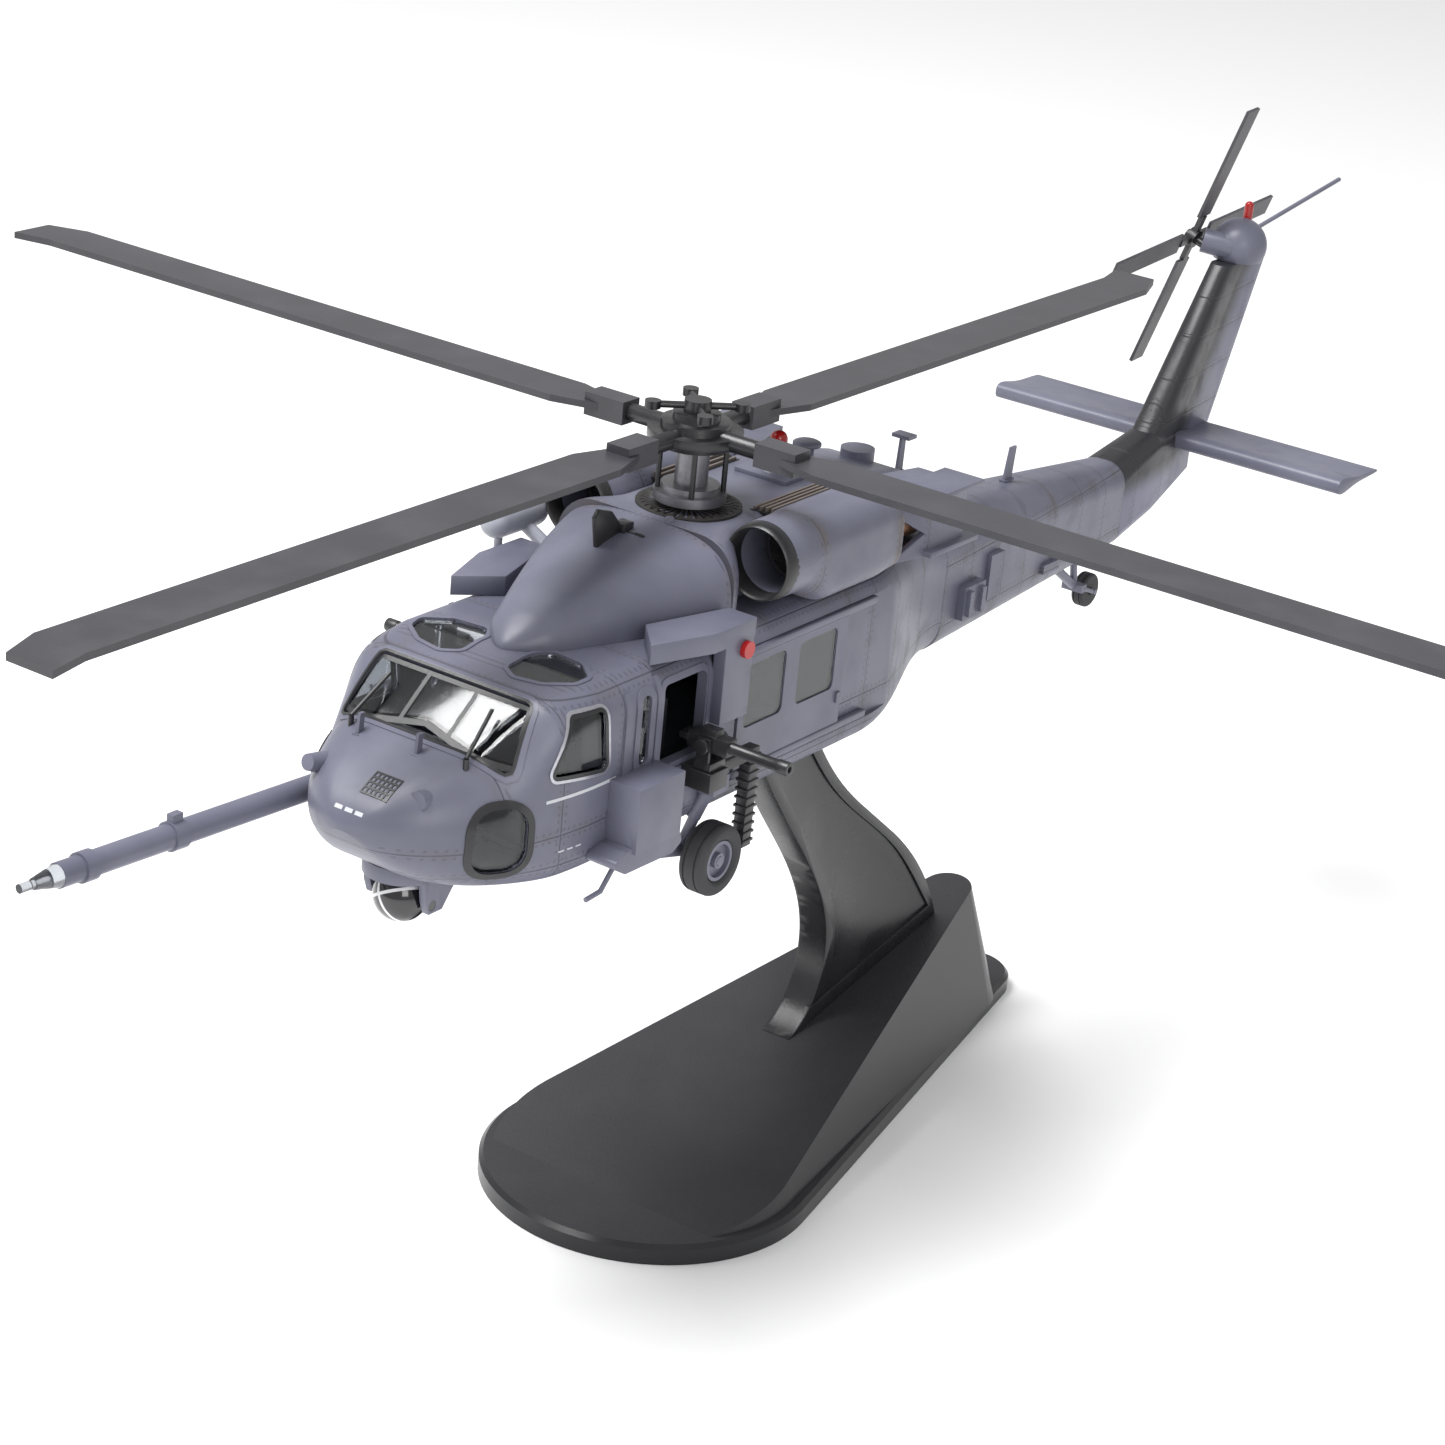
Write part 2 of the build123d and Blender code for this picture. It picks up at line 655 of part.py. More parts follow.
with BuildPart() as rotor_deck:
    half, high = deck_line(DECK_SPLIT_S)
    loft(fairing([(DECK_SPLIT_S, half, high), (58.5, 8.6, DECK_W)], 0.7), ruled=True)
    block(-8.6, 8.6, 58.5, AFT_SPLIT_S, ROOF_SEAT, DECK_W)
    # round well and the bore for the mast
    rod((0, MAST_S, DECK_W), (0, MAST_S, DECK_W + 0.3), WELL_R)
    rod((0, MAST_S, DECK_W - 2.0), (0, MAST_S, DECK_W + 1), WELL_R - 0.8, Mode.SUBTRACT)
    rod((0, MAST_S, 28), (0, MAST_S, DECK_W), MAST_R + FIT, Mode.SUBTRACT)
    # plate and pedestal of the beacon, and the mushroom aerial behind it
    block(-4.0, 4.0, 78.6, 86.0, DECK_W, DECK_W + 0.6)
    rod((0, 82.2, DECK_W + 0.5), (0, 82.2, DECK_W + 2.2), 1.9, end_radius=1.5)
    rod((0, 89.0, DECK_W), (0, 89.0, DECK_W + 2.4), 1.1)
    rod((0, 89.0, DECK_W + 2.3), (0, 89.0, DECK_W + 2.9), 1.9)
keep(rotor_deck.part, "rotor_deck")

def boom_section(s, inset=0.0):
    """Tapered cross-section of the tail boom."""
    t = (s - BOOM_START_S) / (BOOM_END_S - BOOM_START_S)
    half = BOOM_HALF + (BOOM_END_HALF - BOOM_HALF) * t - inset
    low = BOOM_LOW_W + (BOOM_END_LOW_W - BOOM_LOW_W) * t + inset
    high = BOOM_TOP_W + (BOOM_END_TOP_W - BOOM_TOP_W) * t - inset
    return rounded_section(s, half, low, high, 0.55 * half, 0.8 * half)


# the boom's and the hull's surfaces grown a little, to seat small fittings
BOOM_GROWN = loft(
    [boom_section(BOOM_START_S - 1, -SEAT), boom_section(BOOM_END_S, -SEAT)],
    ruled=True,
)

HULL_GROWN = hull_body(-SEAT, 2.0, 60.0)


with BuildPart() as aft_fairing:
    with BuildSketch(Plane.XZ.offset(-(AFT_SPLIT_S + SEAT + NOSE_Y))) as front_face:
        with Locations((0, WHEEL_Z + (ROOF_SEAT + DECK_W) / 2)):
            Rectangle(17.2, DECK_W - ROOF_SEAT)
        fillet(front_face.vertices().group_by(Axis.Y)[-1], 2.4)
    with BuildSketch(Plane.XZ.offset(-(103 + NOSE_Y))) as middle_face:
        with Locations((0, WHEEL_Z + (ROOF_SEAT + 36.2) / 2)):
            Rectangle(14.4, 36.2 - ROOF_SEAT)
        fillet(middle_face.vertices().group_by(Axis.Y)[-1], 2.2)
    with BuildSketch(Plane.XZ.offset(-(118 + NOSE_Y))) as rear_face:
        with Locations((0, WHEEL_Z + (ROOF_SEAT + 30.4) / 2)):
            Rectangle(7.4, 30.4 - ROOF_SEAT)
        fillet(rear_face.vertices().group_by(Axis.Y)[-1], 0.9)
    loft([front_face.sketch, middle_face.sketch, rear_face.sketch], ruled=True)
    # skirt that follows the falling roof down to the boom
    side_slab([(92, 29.6), (118, 29.6), (118, 24), (114, 24), (92, 24)], -3.6, 3.6)
    add(hull_body(-SEAT, 60.0, 114.0), mode=Mode.SUBTRACT)
    add(BOOM_GROWN, mode=Mode.SUBTRACT)
keep(aft_fairing.part, "aft_fairing")


def cowl(side):
    """Engine cowl: a long rounded box beside the rotor deck."""
    inner = 8.6 + SEAT
    outer = 18.9
    middle = side * (inner + outer) / 2
    half = (outer - inner) / 2
    with BuildPart() as body:
        front = rounded_section(COWL_FRONT_S + 2.4, half, 31.0, 40.6, 4.4, 4.4, middle)
        centre = rounded_section(66, half, ROOF_SEAT + 0.3, 40.4, 3.0, 3.6, middle)
        rear = rounded_section(COWL_REAR_S, half, ROOF_SEAT + 0.3, 39.6, 3.0, 3.6, middle)
        loft([front, centre, rear], ruled=True)
        # foot on the roof
        block(side * (inner + 0.6), side * 14.6, 64, COWL_REAR_S, ROOF_SEAT, 32)
        # the intake duct
        bore_start = (side * INTAKE_X, COWL_FRONT_S + 1, INTAKE_W)
        rod(bore_start, (side * INTAKE_X, 70, INTAKE_W), 3.9, Mode.SUBTRACT)
        # parallel cooling slots in the top
        for n in range(7):
            x = side * (inner + 1.6 + n * 0.85)
            block(x - 0.2, x + 0.2, 67.5, 82.0, 39.2, 42, Mode.SUBTRACT)
        # shaft hole for the exhaust pipe
        rod(
            (side * INTAKE_X, COWL_REAR_S - 3, 34.6),
            (side * INTAKE_X, COWL_REAR_S + 1, 34.6),
            2.6 + SEAT,
            Mode.SUBTRACT,
        )
    return body.part


keep(cowl(1), "cowl_port")
keep(cowl(-1), "cowl_starboard")

with BuildPart() as intake_lips:
    for side in (-1, 1):
        x = side * INTAKE_X
        rod((x, COWL_FRONT_S - 1.2, INTAKE_W), (x, COWL_FRONT_S + 2.36, INTAKE_W), INTAKE_R - 0.4)
        rod((x, COWL_FRONT_S - 2, INTAKE_W), (x, COWL_FRONT_S + 3, INTAKE_W), 3.7, Mode.SUBTRACT)
keep(intake_lips.part, "intake_lips")


def suppressor(side):
    """Exhaust box behind the cowl with slanted mouth and two cooling plates."""
    inner = 8.8
    outer = 18.6
    front = COWL_REAR_S + 0.1
    with BuildPart() as box:
        flat_slab(
            [
                (side * inner, front + 0.2),
                (side * (outer - 1.2), front + 0.2),
                (side * outer, front + 6),
                (side * outer, front + 14.5),
                (side * (inner + 2.0), front + 14.5),
                (side * inner, front + 7),
            ],
            ROOF_SEAT + 1.4,
            38.6,
        )
        # hollow right through, and the side mouth that shows the pipe
        flat_slab(
            [
                (side * (inner + 1.0), front - 1),
                (side * (outer - 1.9), front - 1),
                (side * (outer - 1.0), front + 6),
                (side * (outer - 1.0), front + 16),
                (side * (inner + 2.8), front + 16),
                (side * (inner + 1.0), front + 7),
            ],
            ROOF_SEAT + 2.3,
            37.7,
            Mode.SUBTRACT,
        )
        side_slab(
            [(front, 31.0), (front + 5.2, 33.6), (front, 36.6)],
            side * 12,
            side * 22,
            Mode.SUBTRACT,
        )
        # cooling plates above and below the rear half
        for w in (38.2, ROOF_SEAT + 1.6):
            block(side * (outer - 5), side * (outer + 1.2), front + 5, front + 16.5, w, w + 0.7)
    return box.part


keep(suppressor(1), "exhaust_port")
keep(suppressor(-1), "exhaust_starboard")

with BuildPart() as exhaust_pipes:
    for side in (-1, 1):
        x = side * INTAKE_X
        rod((x, COWL_REAR_S - 2.9, 34.6), (x, COWL_REAR_S + 10, 34.6), 2.6)
        rod((x, COWL_REAR_S - 4, 34.6), (x, COWL_REAR_S + 12, 34.6), 2.2, Mode.SUBTRACT)
keep(exhaust_pipes.part, "exhaust_pipes")


# ----------------------------------------------------------------- tail boom
with BuildPart() as tail_boom:
    loft([boom_section(BOOM_START_S + SEAT), boom_section(BOOM_END_S)], ruled=True)
    # dispensers with their frames, flat boxes and a small teardrop
    block(5.0, 9.4, 118.6, 124.0, 11.6, 16.4)
    block(9.3, 10.0, 119.2, 120.2, 12.2, 15.8)
    block(9.3, 10.0, 122.4, 123.4, 12.2, 15.8)
    block(4.0, 8.4, 126.6, 130.2, 12.4, 19.0)
    block(4.0, 6.9, 145.0, 149.4, 11.2, 12.6)
    block(-8.4, -4.0, 126.6, 130.2, 12.4, 19.0)
    # spigot into the fuselage and a socket for the fin's
    block(-5.3, 5.3, 111.2, BOOM_START_S + 1, 10.6, 23.4)
    block(-2.0 - SEAT, 2.0 + SEAT, BOOM_END_S - 3, BOOM_END_S + 1, 11, 19, Mode.SUBTRACT)
keep(tail_boom.part, "tail_boom")

STAB_S = (190.4, 203.7)     # leading and trailing edge of the stabilator
STAB_W = 20.6
STAB_HALF = 30.3


def foil(front, rear, thick, level):
    """Lens-shaped section lying level, blunt in front and thin behind."""
    a = front + NOSE_Y
    b = rear + NOSE_Y
    deep = a + 0.3 * (b - a)
    with BuildSketch(Plane.XY.offset(level + WHEEL_Z)) as section:
        with BuildLine():
            Spline((0, a), (thick, deep), (0.25, b), tangents=((1, 0), (-0.12, 1)))
            Line((0.25, b), (-0.25, b))
            Spline((-0.25, b), (-thick, deep), (0, a), tangents=((-0.12, -1), (1, 0)))
        make_face()
    return section.sketch


def stabilator_bar(grow=0.0):
    """The level tail plane, or the slot for it when grown."""
    with BuildPart() as bar:
        with BuildSketch(Plane.YZ.offset(-STAB_HALF - grow)) as section:
            with BuildLine():
                a = (STAB_S[0] + NOSE_Y - grow, STAB_W + WHEEL_Z)
                b = (STAB_S[1] + NOSE_Y + grow, STAB_W + WHEEL_Z)
                deep = STAB_S[0] + 4.2 + NOSE_Y
                up = (deep, STAB_W + WHEEL_Z + 0.85 + grow)
                down = (deep, STAB_W + WHEEL_Z - 0.85 - grow)
                Spline(a, up, (b[0], b[1] + 0.18), tangents=((0, 1), (1, -0.1)))
                Line((b[0], b[1] + 0.18), (b[0], b[1] - 0.18))
                Spline((b[0], b[1] - 0.18), down, a, tangents=((-1, -0.1), (0, 1)))
            make_face()
        extrude(amount=2 * (STAB_HALF + grow))
    return bar.part


with BuildPart() as tail_fin:
    # upright blade, swept back
    loft([foil(178.5, 203.2, 2.2, 17.0), foil(200.4, 216.6, 1.5, 46.5)], ruled=True)
    # root that carries on the boom's shape
    root_mid = rounded_section(184.0, 3.2, 10.6, 23.4, 1.7, 2.4)
    root_end = rounded_section(198.0, 1.2, 14.2, 21.0, 0.6, 0.7)
    loft([boom_section(BOOM_END_S + SEAT), root_mid, root_end], ruled=True)
    block(-2.0, 2.0, BOOM_END_S - 2.9, BOOM_END_S + 1, 11.1, 18.9)
    add(stabilator_bar(SEAT), mode=Mode.SUBTRACT)
keep(tail_fin.part, "tail_fin")

with BuildPart() as stabilator:
    add(stabilator_bar())
keep(stabilator.part, "stabilator")

GEARBOX_S = 207.0
GEARBOX_W = 48.6
with BuildPart() as gearbox_fairing:
    ball((0, GEARBOX_S, GEARBOX_W), 4.3)
    # stub towards the tail rotor
    rod((0, TAIL_HUB_S + 2.0, GEARBOX_W), (TAIL_HUB_X + 1.7, TAIL_HUB_S, TAIL_HUB_W), 1.9)
    flat_slab([(-10, 195), (10, 195), (10, 220), (-10, 220)], 40, 46.5 + SEAT, Mode.SUBTRACT)
    # lamp socket on top
    rod((0, 208.6, 51.5), (0, 208.6, 54), 0.7 + SEAT, Mode.SUBTRACT)
    TAIL_AXIS = Vector(-cos(radians(TAIL_CANT)), 0, sin(radians(TAIL_CANT)))
    shaft_foot = Vector(TAIL_HUB_X, TAIL_HUB_S, TAIL_HUB_W) - TAIL_AXIS * 3.6
    rod(tuple(shaft_foot), (TAIL_HUB_X, TAIL_HUB_S, TAIL_HUB_W), 0.7 + FIT, Mode.SUBTRACT)
keep(gearbox_fairing.part, "gearbox_fairing")


# -------------------------------------------------------------- probe, hoist
def along_probe(distance):
    """Point on the probe's axis this far behind its front end."""
    tip = Vector(*PROBE_TIP)
    back = (Vector(*PROBE_ROOT) - tip).normalized()
    return tuple(tip + back * distance)


with BuildPart() as probe_tube:
    rod(PROBE_ROOT, PROBE_TIP, PROBE_R)
    # two clamped bands, the rear one with a small block on top
    for start, length in ((3.2, 1.8), (16.6, 2.0)):
        rod(along_probe(start), along_probe(start + length), PROBE_R + 0.3)
    x, s, w = along_probe(17.6)
    block(x - 0.5, x + 0.5, s - 0.8, s + 0.8, w, w + PROBE_R + 1.2)
keep(probe_tube.part, "probe_tube")

with BuildPart() as probe_nozzle:
    rod(along_probe(-SEAT), along_probe(-3.4), PROBE_R - 0.1, end_radius=0.7)
    rod(along_probe(-3.3), along_probe(-5.4), 0.55)
keep(probe_nozzle.part, "probe_nozzle")

HOIST_X = -20.7
HOIST_W = 33.4
HOIST_S = (51.4, 58.6)
with BuildPart() as hoist:
    # capsule-shaped winch on an arm over the starboard door, with its hook
    rod((HOIST_X, HOIST_S[0], HOIST_W), (HOIST_X, HOIST_S[1], HOIST_W), 2.1)
    for s in HOIST_S:
        ball((HOIST_X, s, HOIST_W), 2.1)
    rod((HOIST_X, 56.0, HOIST_W - 0.6), (-15.6, 56.0, 30.2), 0.9)
    block(-16.2, -14.0, 54.8, 57.2, ROOF_SEAT, ROOF_SEAT + 1.6)
    rod((HOIST_X, 52.0, HOIST_W - 1.5), (HOIST_X, 52.0, HOIST_W - 4.4), 0.55)
    ball((HOIST_X, 52.0, HOIST_W - 4.6), 0.75)
keep(hoist.part, "hoist")


# -------------------------------------------------------------- side fittings
def side_fairing(side):
    """Stub wing over the gear, with the riveted box standing on it."""
    near = CABIN_HALF + SEAT
    with BuildPart() as stub:
        side_slab(
            [(24.0, 8.6), (27, 6.8), (36.4, 6.6), (38.2, 7.6), (37.4, 9.4), (27, 9.6)],
            side * near,
            side * 20.6,
            corner=0.6,
        )
        block(side * near, side * 21.0, 28.2, 37.0, 9.0, 17.2)
    return stub.part


with BuildPart() as side_boxes:
    add(side_fairing(1))
    add(side_fairing(-1))
    # bent step under each stub
    for side in (-1, 1):
        x = side * 18.4
        rod((x, 28.0, 7.2), (x, 25.4, 4.4), 0.32)
        rod((x, 25.5, 4.4), (x, 22.6, 4.2), 0.32)
keep(side_boxes.part, "side_boxes")

with BuildPart() as upper_fairings:
    # long flat housings on the roof edge that turn down the side behind the gunner
    for side in (-1, 1):
        flat_slab(
            [
                (side * 10.6, 41.0),
                (side * 15.2, 36.0),
                (side * 18.2, 45.0),
                (side * 18.2, 53.4),
                (side * 14.0, 53.4),
            ],
            ROOF_SEAT,
            31.6,
        )
        block(side * (CABIN_HALF + SEAT), side * 18.2, 47.4, 53.2, 19.0, 31.4)
keep(upper_fairings.part, "upper_fairings")

with BuildPart() as door_rails:
    # a guide strip above and below each sliding door
    for side in (-1, 1):
        x0 = side * (DOOR_RECESS_HALF + SEAT)
        x1 = side * (CABIN_HALF + 0.2)
        for w in (DOOR_TOP_W + FIT, DOOR_LOW_W - FIT - 1.0):
            block(x0, x1, DOOR_FRONT_S - 0.4, CABIN_END_S - 0.3, w, w + 1.0)
keep(door_rails.part, "door_rails")

with BuildPart() as lamps:
    # red beacon on its pedestal, tail lamp, and a position light on each fairing
    rod((0, 82.2, DECK_W + 2.2 + SEAT), (0, 82.2, DECK_W + 4.6), 1.15)
    ball((0, 82.2, DECK_W + 4.6), 1.15)
    rod((0, 208.6, 51.5 + SEAT), (0, 208.6, 54.6), 0.7)
    ball((0, 208.6, 54.6), 0.7)
    for side in (-1, 1):
        rod((side * (18.2 + SEAT), 51.4, 28.0), (side * 18.9, 51.4, 28.0), 1.1)
keep(lamps.part, "lamps")


def blade_aerial(x, s, w, height, length, lean):
    """Small upright blade aerial on a flat foot."""
    block(x - 0.45, x + 0.45, s - 0.3, s + length + 0.3, w, w + 0.35)
    side_slab(
        [(s, w), (s + length, w), (s + length * 0.75 + lean, w + height), (s + lean, w + height)],
        x - 0.2,
        x + 0.2,
    )


with BuildPart() as aerials:
    # nose pair, T aerial and flat cap behind the deck, boom blade, tail whip
    for x, s in ((-6.4, 9.4), (2.2, 9.6)):
        blade_aerial(x, s, hull_top(s) - 0.4, 2.8, 1.0, 0.3)
    blade_aerial(0, 112.0, 32.0, 5.2, 1.4, 0.4)
    block(-1.4, 1.4, 112.2, 114.2, 37.0, 37.5)
    rod((0, 101.6, 35.0), (0, 101.6, 38.0), 2.3)
    blade_aerial(0, 142.0, 24.2, 5.0, 2.0, 1.0)
    rod((0, 210.2, 50.2), (0, 240.0, 54.2), 0.35)
    add(HULL_GROWN, mode=Mode.SUBTRACT)
    add(aft_fairing.part, mode=Mode.SUBTRACT)
    add(BOOM_GROWN, mode=Mode.SUBTRACT)
    add(gearbox_fairing.part, mode=Mode.SUBTRACT)
keep(aerials.part, "aerials")

with BuildPart() as wipers:
    # each wiper lies just above the glass from its pivot on the nose
    for side in (-1, 1):
        foot = (side * 8.6, 10.9, 22.4)
        rod((side * 8.6, 10.9, 20.0), foot, 0.35)
        rod(foot, (side * 7.6, 16.4, 26.6), 0.25)
    add(HULL_GROWN, mode=Mode.SUBTRACT)
keep(wipers.part, "wipers")

with BuildPart() as nose_fittings:
    # horn-shaped lamp to starboard, sensor to port, low round plug and knob
    rod((-8.2, 7.6, 17.6), (-8.6, 3.6, 18.6), 1.5, end_radius=1.0)
    rod((6.8, 8.6, 17.6), (6.9, 4.6, 18.4), 1.7, end_radius=1.2)
    rod((7.2, 9.0, 11.6), (7.9, 4.9, 11.6), 0.7)
    add(HULL_GROWN, mode=Mode.SUBTRACT)
keep(nose_fittings.part, "nose_fittings")


# ----------------------------------------------------------------- main gear
STRUT_X = 15.2

with BuildPart() as gear_struts:
    for side in (-1, 1):
        # drag beam from the belly, axle block, shock strut up to the cabin side
        rod((side * STRUT_X, 35.0, 5.0), (side * STRUT_X, MAIN_WHEEL_S, MAIN_WHEEL_W), 0.9)
        ball((side * STRUT_X, MAIN_WHEEL_S, MAIN_WHEEL_W), 1.25)
        rod((side * STRUT_X, 46.0, 2.6), (side * 17.2, 48.0, 10.8), 0.7)
        rod((side * 16.0, 46.8, 6.6), (side * 17.2, 48.0, 10.8), 1.0)
        block(side * (CABIN_HALF + SEAT), side * 19.0, 46.4, 49.6, 10.2, 12.4)
        rod(
            (side * STRUT_X, MAIN_WHEEL_S, MAIN_WHEEL_W),
            (side * (MAIN_WHEEL_X + MAIN_TYRE_HALF - 0.3), MAIN_WHEEL_S, MAIN_WHEEL_W),
            AXLE_R,
        )
    add(HULL_GROWN, mode=Mode.SUBTRACT)
keep(gear_struts.part, "gear_struts")


def wheel_hub(side):
    with BuildPart() as hub:
        x0 = side * (MAIN_WHEEL_X - MAIN_TYRE_HALF + 0.3)
        x1 = side * (MAIN_WHEEL_X + MAIN_TYRE_HALF - 0.35)
        rod((x0, MAIN_WHEEL_S, MAIN_WHEEL_W), (x1, MAIN_WHEEL_S, MAIN_WHEEL_W), MAIN_HUB_R)
        # dished outer face round the centre cap
        dish = side * (MAIN_WHEEL_X + MAIN_TYRE_HALF - 0.95)
        out = side * (MAIN_WHEEL_X + MAIN_TYRE_HALF)
        with BuildSketch(Plane(origin=place(dish, MAIN_WHEEL_S, MAIN_WHEEL_W), z_dir=(side, 0, 0))) as ring:
            Circle(MAIN_HUB_R - 0.45)
            Circle(1.0, mode=Mode.SUBTRACT)
        extrude(ring.sketch, amount=abs(out - dish), mode=Mode.SUBTRACT)
        rod(
            (x0 - side, MAIN_WHEEL_S, MAIN_WHEEL_W),
            (side * (MAIN_WHEEL_X + MAIN_TYRE_HALF - 0.28), MAIN_WHEEL_S, MAIN_WHEEL_W),
            AXLE_R + FIT,
            Mode.SUBTRACT,
        )
    return hub.part


def tyre(x, s, w, radius, half, bore):
    """Round-shouldered tyre with two tread grooves."""
    with BuildPart() as rubber:
        with BuildSketch(Plane.XY.offset(w + WHEEL_Z)) as section:
            with Locations((x, s + NOSE_Y + (radius + bore) / 2)):
                RectangleRounded(2 * half, radius - bore, min(half, radius - bore) * 0.45)
            with Locations((x - 0.45 * half, s + NOSE_Y + radius), (x + 0.45 * half, s + NOSE_Y + radius)):
                Rectangle(0.14 * half, 0.3, mode=Mode.SUBTRACT)
        revolve(axis=Axis(place(x, s, w), (1, 0, 0)))
    return rubber.part


def main_tyre(side):
    return tyre(
        side * MAIN_WHEEL_X,
        MAIN_WHEEL_S,
        MAIN_WHEEL_W,
        MAIN_TYRE_R,
        MAIN_TYRE_HALF,
        MAIN_HUB_R + 0.01,
    )


keep(wheel_hub(1), "wheel_hub_port")
keep(wheel_hub(-1), "wheel_hub_starboard")
keep(main_tyre(1), "tyre_port")
keep(main_tyre(-1), "tyre_starboard")

with BuildPart() as tail_strut:
    # trailing fork on two legs under the boom, with the axle through it
    rod((0, 158.0, 8.6), (0, 168.4, 1.6), 0.7)
    rod((0, 166.2, 9.4), (0, 167.8, 2.4), 0.55)
    block(-1.75, 1.75, 167.4, 168.8, 1.2, 2.4)
    for side in (-1, 1):
        x = side * 1.25
        rod((x + side * 0.2, 168.2, 1.8), (x + side * 0.2, TAIL_WHEEL_S, TAIL_WHEEL_W), 0.35)
    axle_half = 1.85
    rod((-axle_half, TAIL_WHEEL_S, TAIL_WHEEL_W), (axle_half, TAIL_WHEEL_S, TAIL_WHEEL_W), TAIL_AXLE_R)
    add(BOOM_GROWN, mode=Mode.SUBTRACT)
keep(tail_strut.part, "tail_strut")

keep(
    tyre(0, TAIL_WHEEL_S, TAIL_WHEEL_W, TAIL_TYRE_R, TAIL_TYRE_HALF, TAIL_AXLE_R + FIT),
    "tail_wheel",
)


# ------------------------------------------------------------------ door guns
def gun_mount(side):
    """Post that turns in a socket below the gunner's sill, with a fork on top."""
    x = side * GUN_X
    with BuildPart() as mount:
        rod((x, GUN_S, 13.2), (x, GUN_S, 16.0), GUN_POST_R)
        block(x - 1.2, x + 1.2, GUN_S - 1.6, GUN_S + 1.6, 15.2, 16.2)
        # fork cheeks fore and aft of the gun
        for fore in (-1, 1):
            block(x - 0.9, x + 0.9, GUN_S + fore * 1.25, GUN_S + fore * 1.65, 15.4, 19.3)
        # the pin's bores
        rod((x, GUN_S - 3, GUN_W), (x, GUN_S + 3, GUN_W), 0.45 + FIT, Mode.SUBTRACT)
    return mount.part


def door_gun(side):
    """Receiver with its pin, grips and a sleeved barrel pointing outboard."""
    x = side * GUN_X
    with BuildPart() as gun:
        block(side * 16.8, side * 22.6, GUN_S - 1.0, GUN_S + 1.0, GUN_W - 0.9, GUN_W + 1.1)
        block(side * 15.6, side * 16.9, GUN_S - 1.1, GUN_S + 1.1, GUN_W - 0.2, GUN_W + 0.6)
        rod((side * 22.5, GUN_S, GUN_W + 0.1), (side * 30.0, GUN_S, GUN_W + 0.1), BARREL_R)
        rod((side * 29.4, GUN_S, GUN_W + 0.1), (side * BARREL_END_X, GUN_S, GUN_W + 0.1), BARREL_R + 0.12)
        rod(
            (side * (BARREL_END_X - 1.5), GUN_S, GUN_W + 0.1),
            (side * (BARREL_END_X + 1), GUN_S, GUN_W + 0.1),
            0.4,
            Mode.SUBTRACT,
        )
        # feed box on the aft side of the receiver's top, sight in front
        block(side * 18.4, side * 20.8, GUN_S - 0.8, GUN_S + 0.8, GUN_W + 1.0, GUN_W + 1.9)
        rod((x, GUN_S - 2.1, GUN_W), (x, GUN_S + 2.1, GUN_W), 0.45)
        rod((x, GUN_S - 2.3, GUN_W), (x, GUN_S - 1.8, GUN_W), 0.95)
        rod((x, GUN_S + 1.8, GUN_W), (x, GUN_S + 2.3, GUN_W), 0.95)
    return gun.part


with BuildPart() as gun_brackets:
    # sill brackets with the sockets, and the ribbed feed chutes hanging aft
    for side in (-1, 1):
        x = side * GUN_X
        block(side * (CABIN_HALF + SEAT), side * 21.2, GUN_S - 1.8, GUN_S + 1.8, 12.6, 15.1)
        rod((x, GUN_S, 13.1), (x, GUN_S, 16), GUN_POST_R + FIT, Mode.SUBTRACT)
        block(side * 18.2, side * 19.6, GUN_S + 1.7, GUN_S + 10.0, 13.4, 14.8)
        block(side * 18.1, side * 19.7, GUN_S + 8.9, GUN_S + 10.7, 1.6, 14.9)
        for n in range(11):
            w = 2.2 + n * 1.15
            block(side * 17.9, side * 19.9, GUN_S + 8.7, GUN_S + 10.9, w, w + 0.35)
keep(gun_brackets.part, "gun_brackets")
keep(gun_mount(1), "gun_mount_port")
keep(gun_mount(-1), "gun_mount_starboard")
keep(door_gun(1), "gun_port")
keep(door_gun(-1), "gun_starboard")


# --------------------------------------------------------------------- turret
with BuildPart() as turret_yoke:
    # two cheeks hung from a round pad let into the chin
    rod((0, BALL_S, 7.4), (0, BALL_S, 5.5), 4.8)
    for side in (-1, 1):
        side_slab(
            [(9.6, 6.9), (16.4, 6.4), (16.2, 5.2), (13.2, 1.4), (10.8, 1.4), (10.2, 3.0)],
            side * (BALL_R + 0.35),
            side * (BALL_R + 1.35),
        )
    ball((0, BALL_S, BALL_W), BALL_R + 0.3, Mode.SUBTRACT)
    rod((-6, BALL_S, BALL_W), (6, BALL_S, BALL_W), TRUNNION_R + FIT, Mode.SUBTRACT)
    add(HULL_GROWN, mode=Mode.SUBTRACT)
keep(turret_yoke.part, "turret_yoke")

with BuildPart() as turret_ball:
    ball((0, BALL_S, BALL_W), BALL_R)
    trunnion = BALL_R + 1.3
    rod((-trunnion, BALL_S, BALL_W), (trunnion, BALL_S, BALL_W), TRUNNION_R)
keep(turret_ball.part, "turret_ball")


# --------------------------------------------------------------- sliding doors
def cabin_door(side):
    """Flat door between its rails, with two window openings and a handle."""
    x0 = side * (DOOR_RECESS_HALF + FIT)
    x1 = side * (DOOR_RECESS_HALF + FIT + DOOR_THICK)
    outline = [
        (DOOR_FRONT_S, DOOR_LOW_W),
        (DOOR_REAR_S, DOOR_LOW_W),
        (DOOR_REAR_S, DOOR_TOP_W),
        (DOOR_FRONT_S, DOOR_TOP_W),
    ]
    with BuildPart() as door:
        side_slab(outline, x0, x1)
        for opening in DOOR_WINDOWS:
            side_slab(opening, x0 - side, x1 + side, Mode.SUBTRACT, corner=0.9)
        block(x1, x1 + side * 0.3, 75.9, 76.7, 13.6, 15.0)
    return door.part


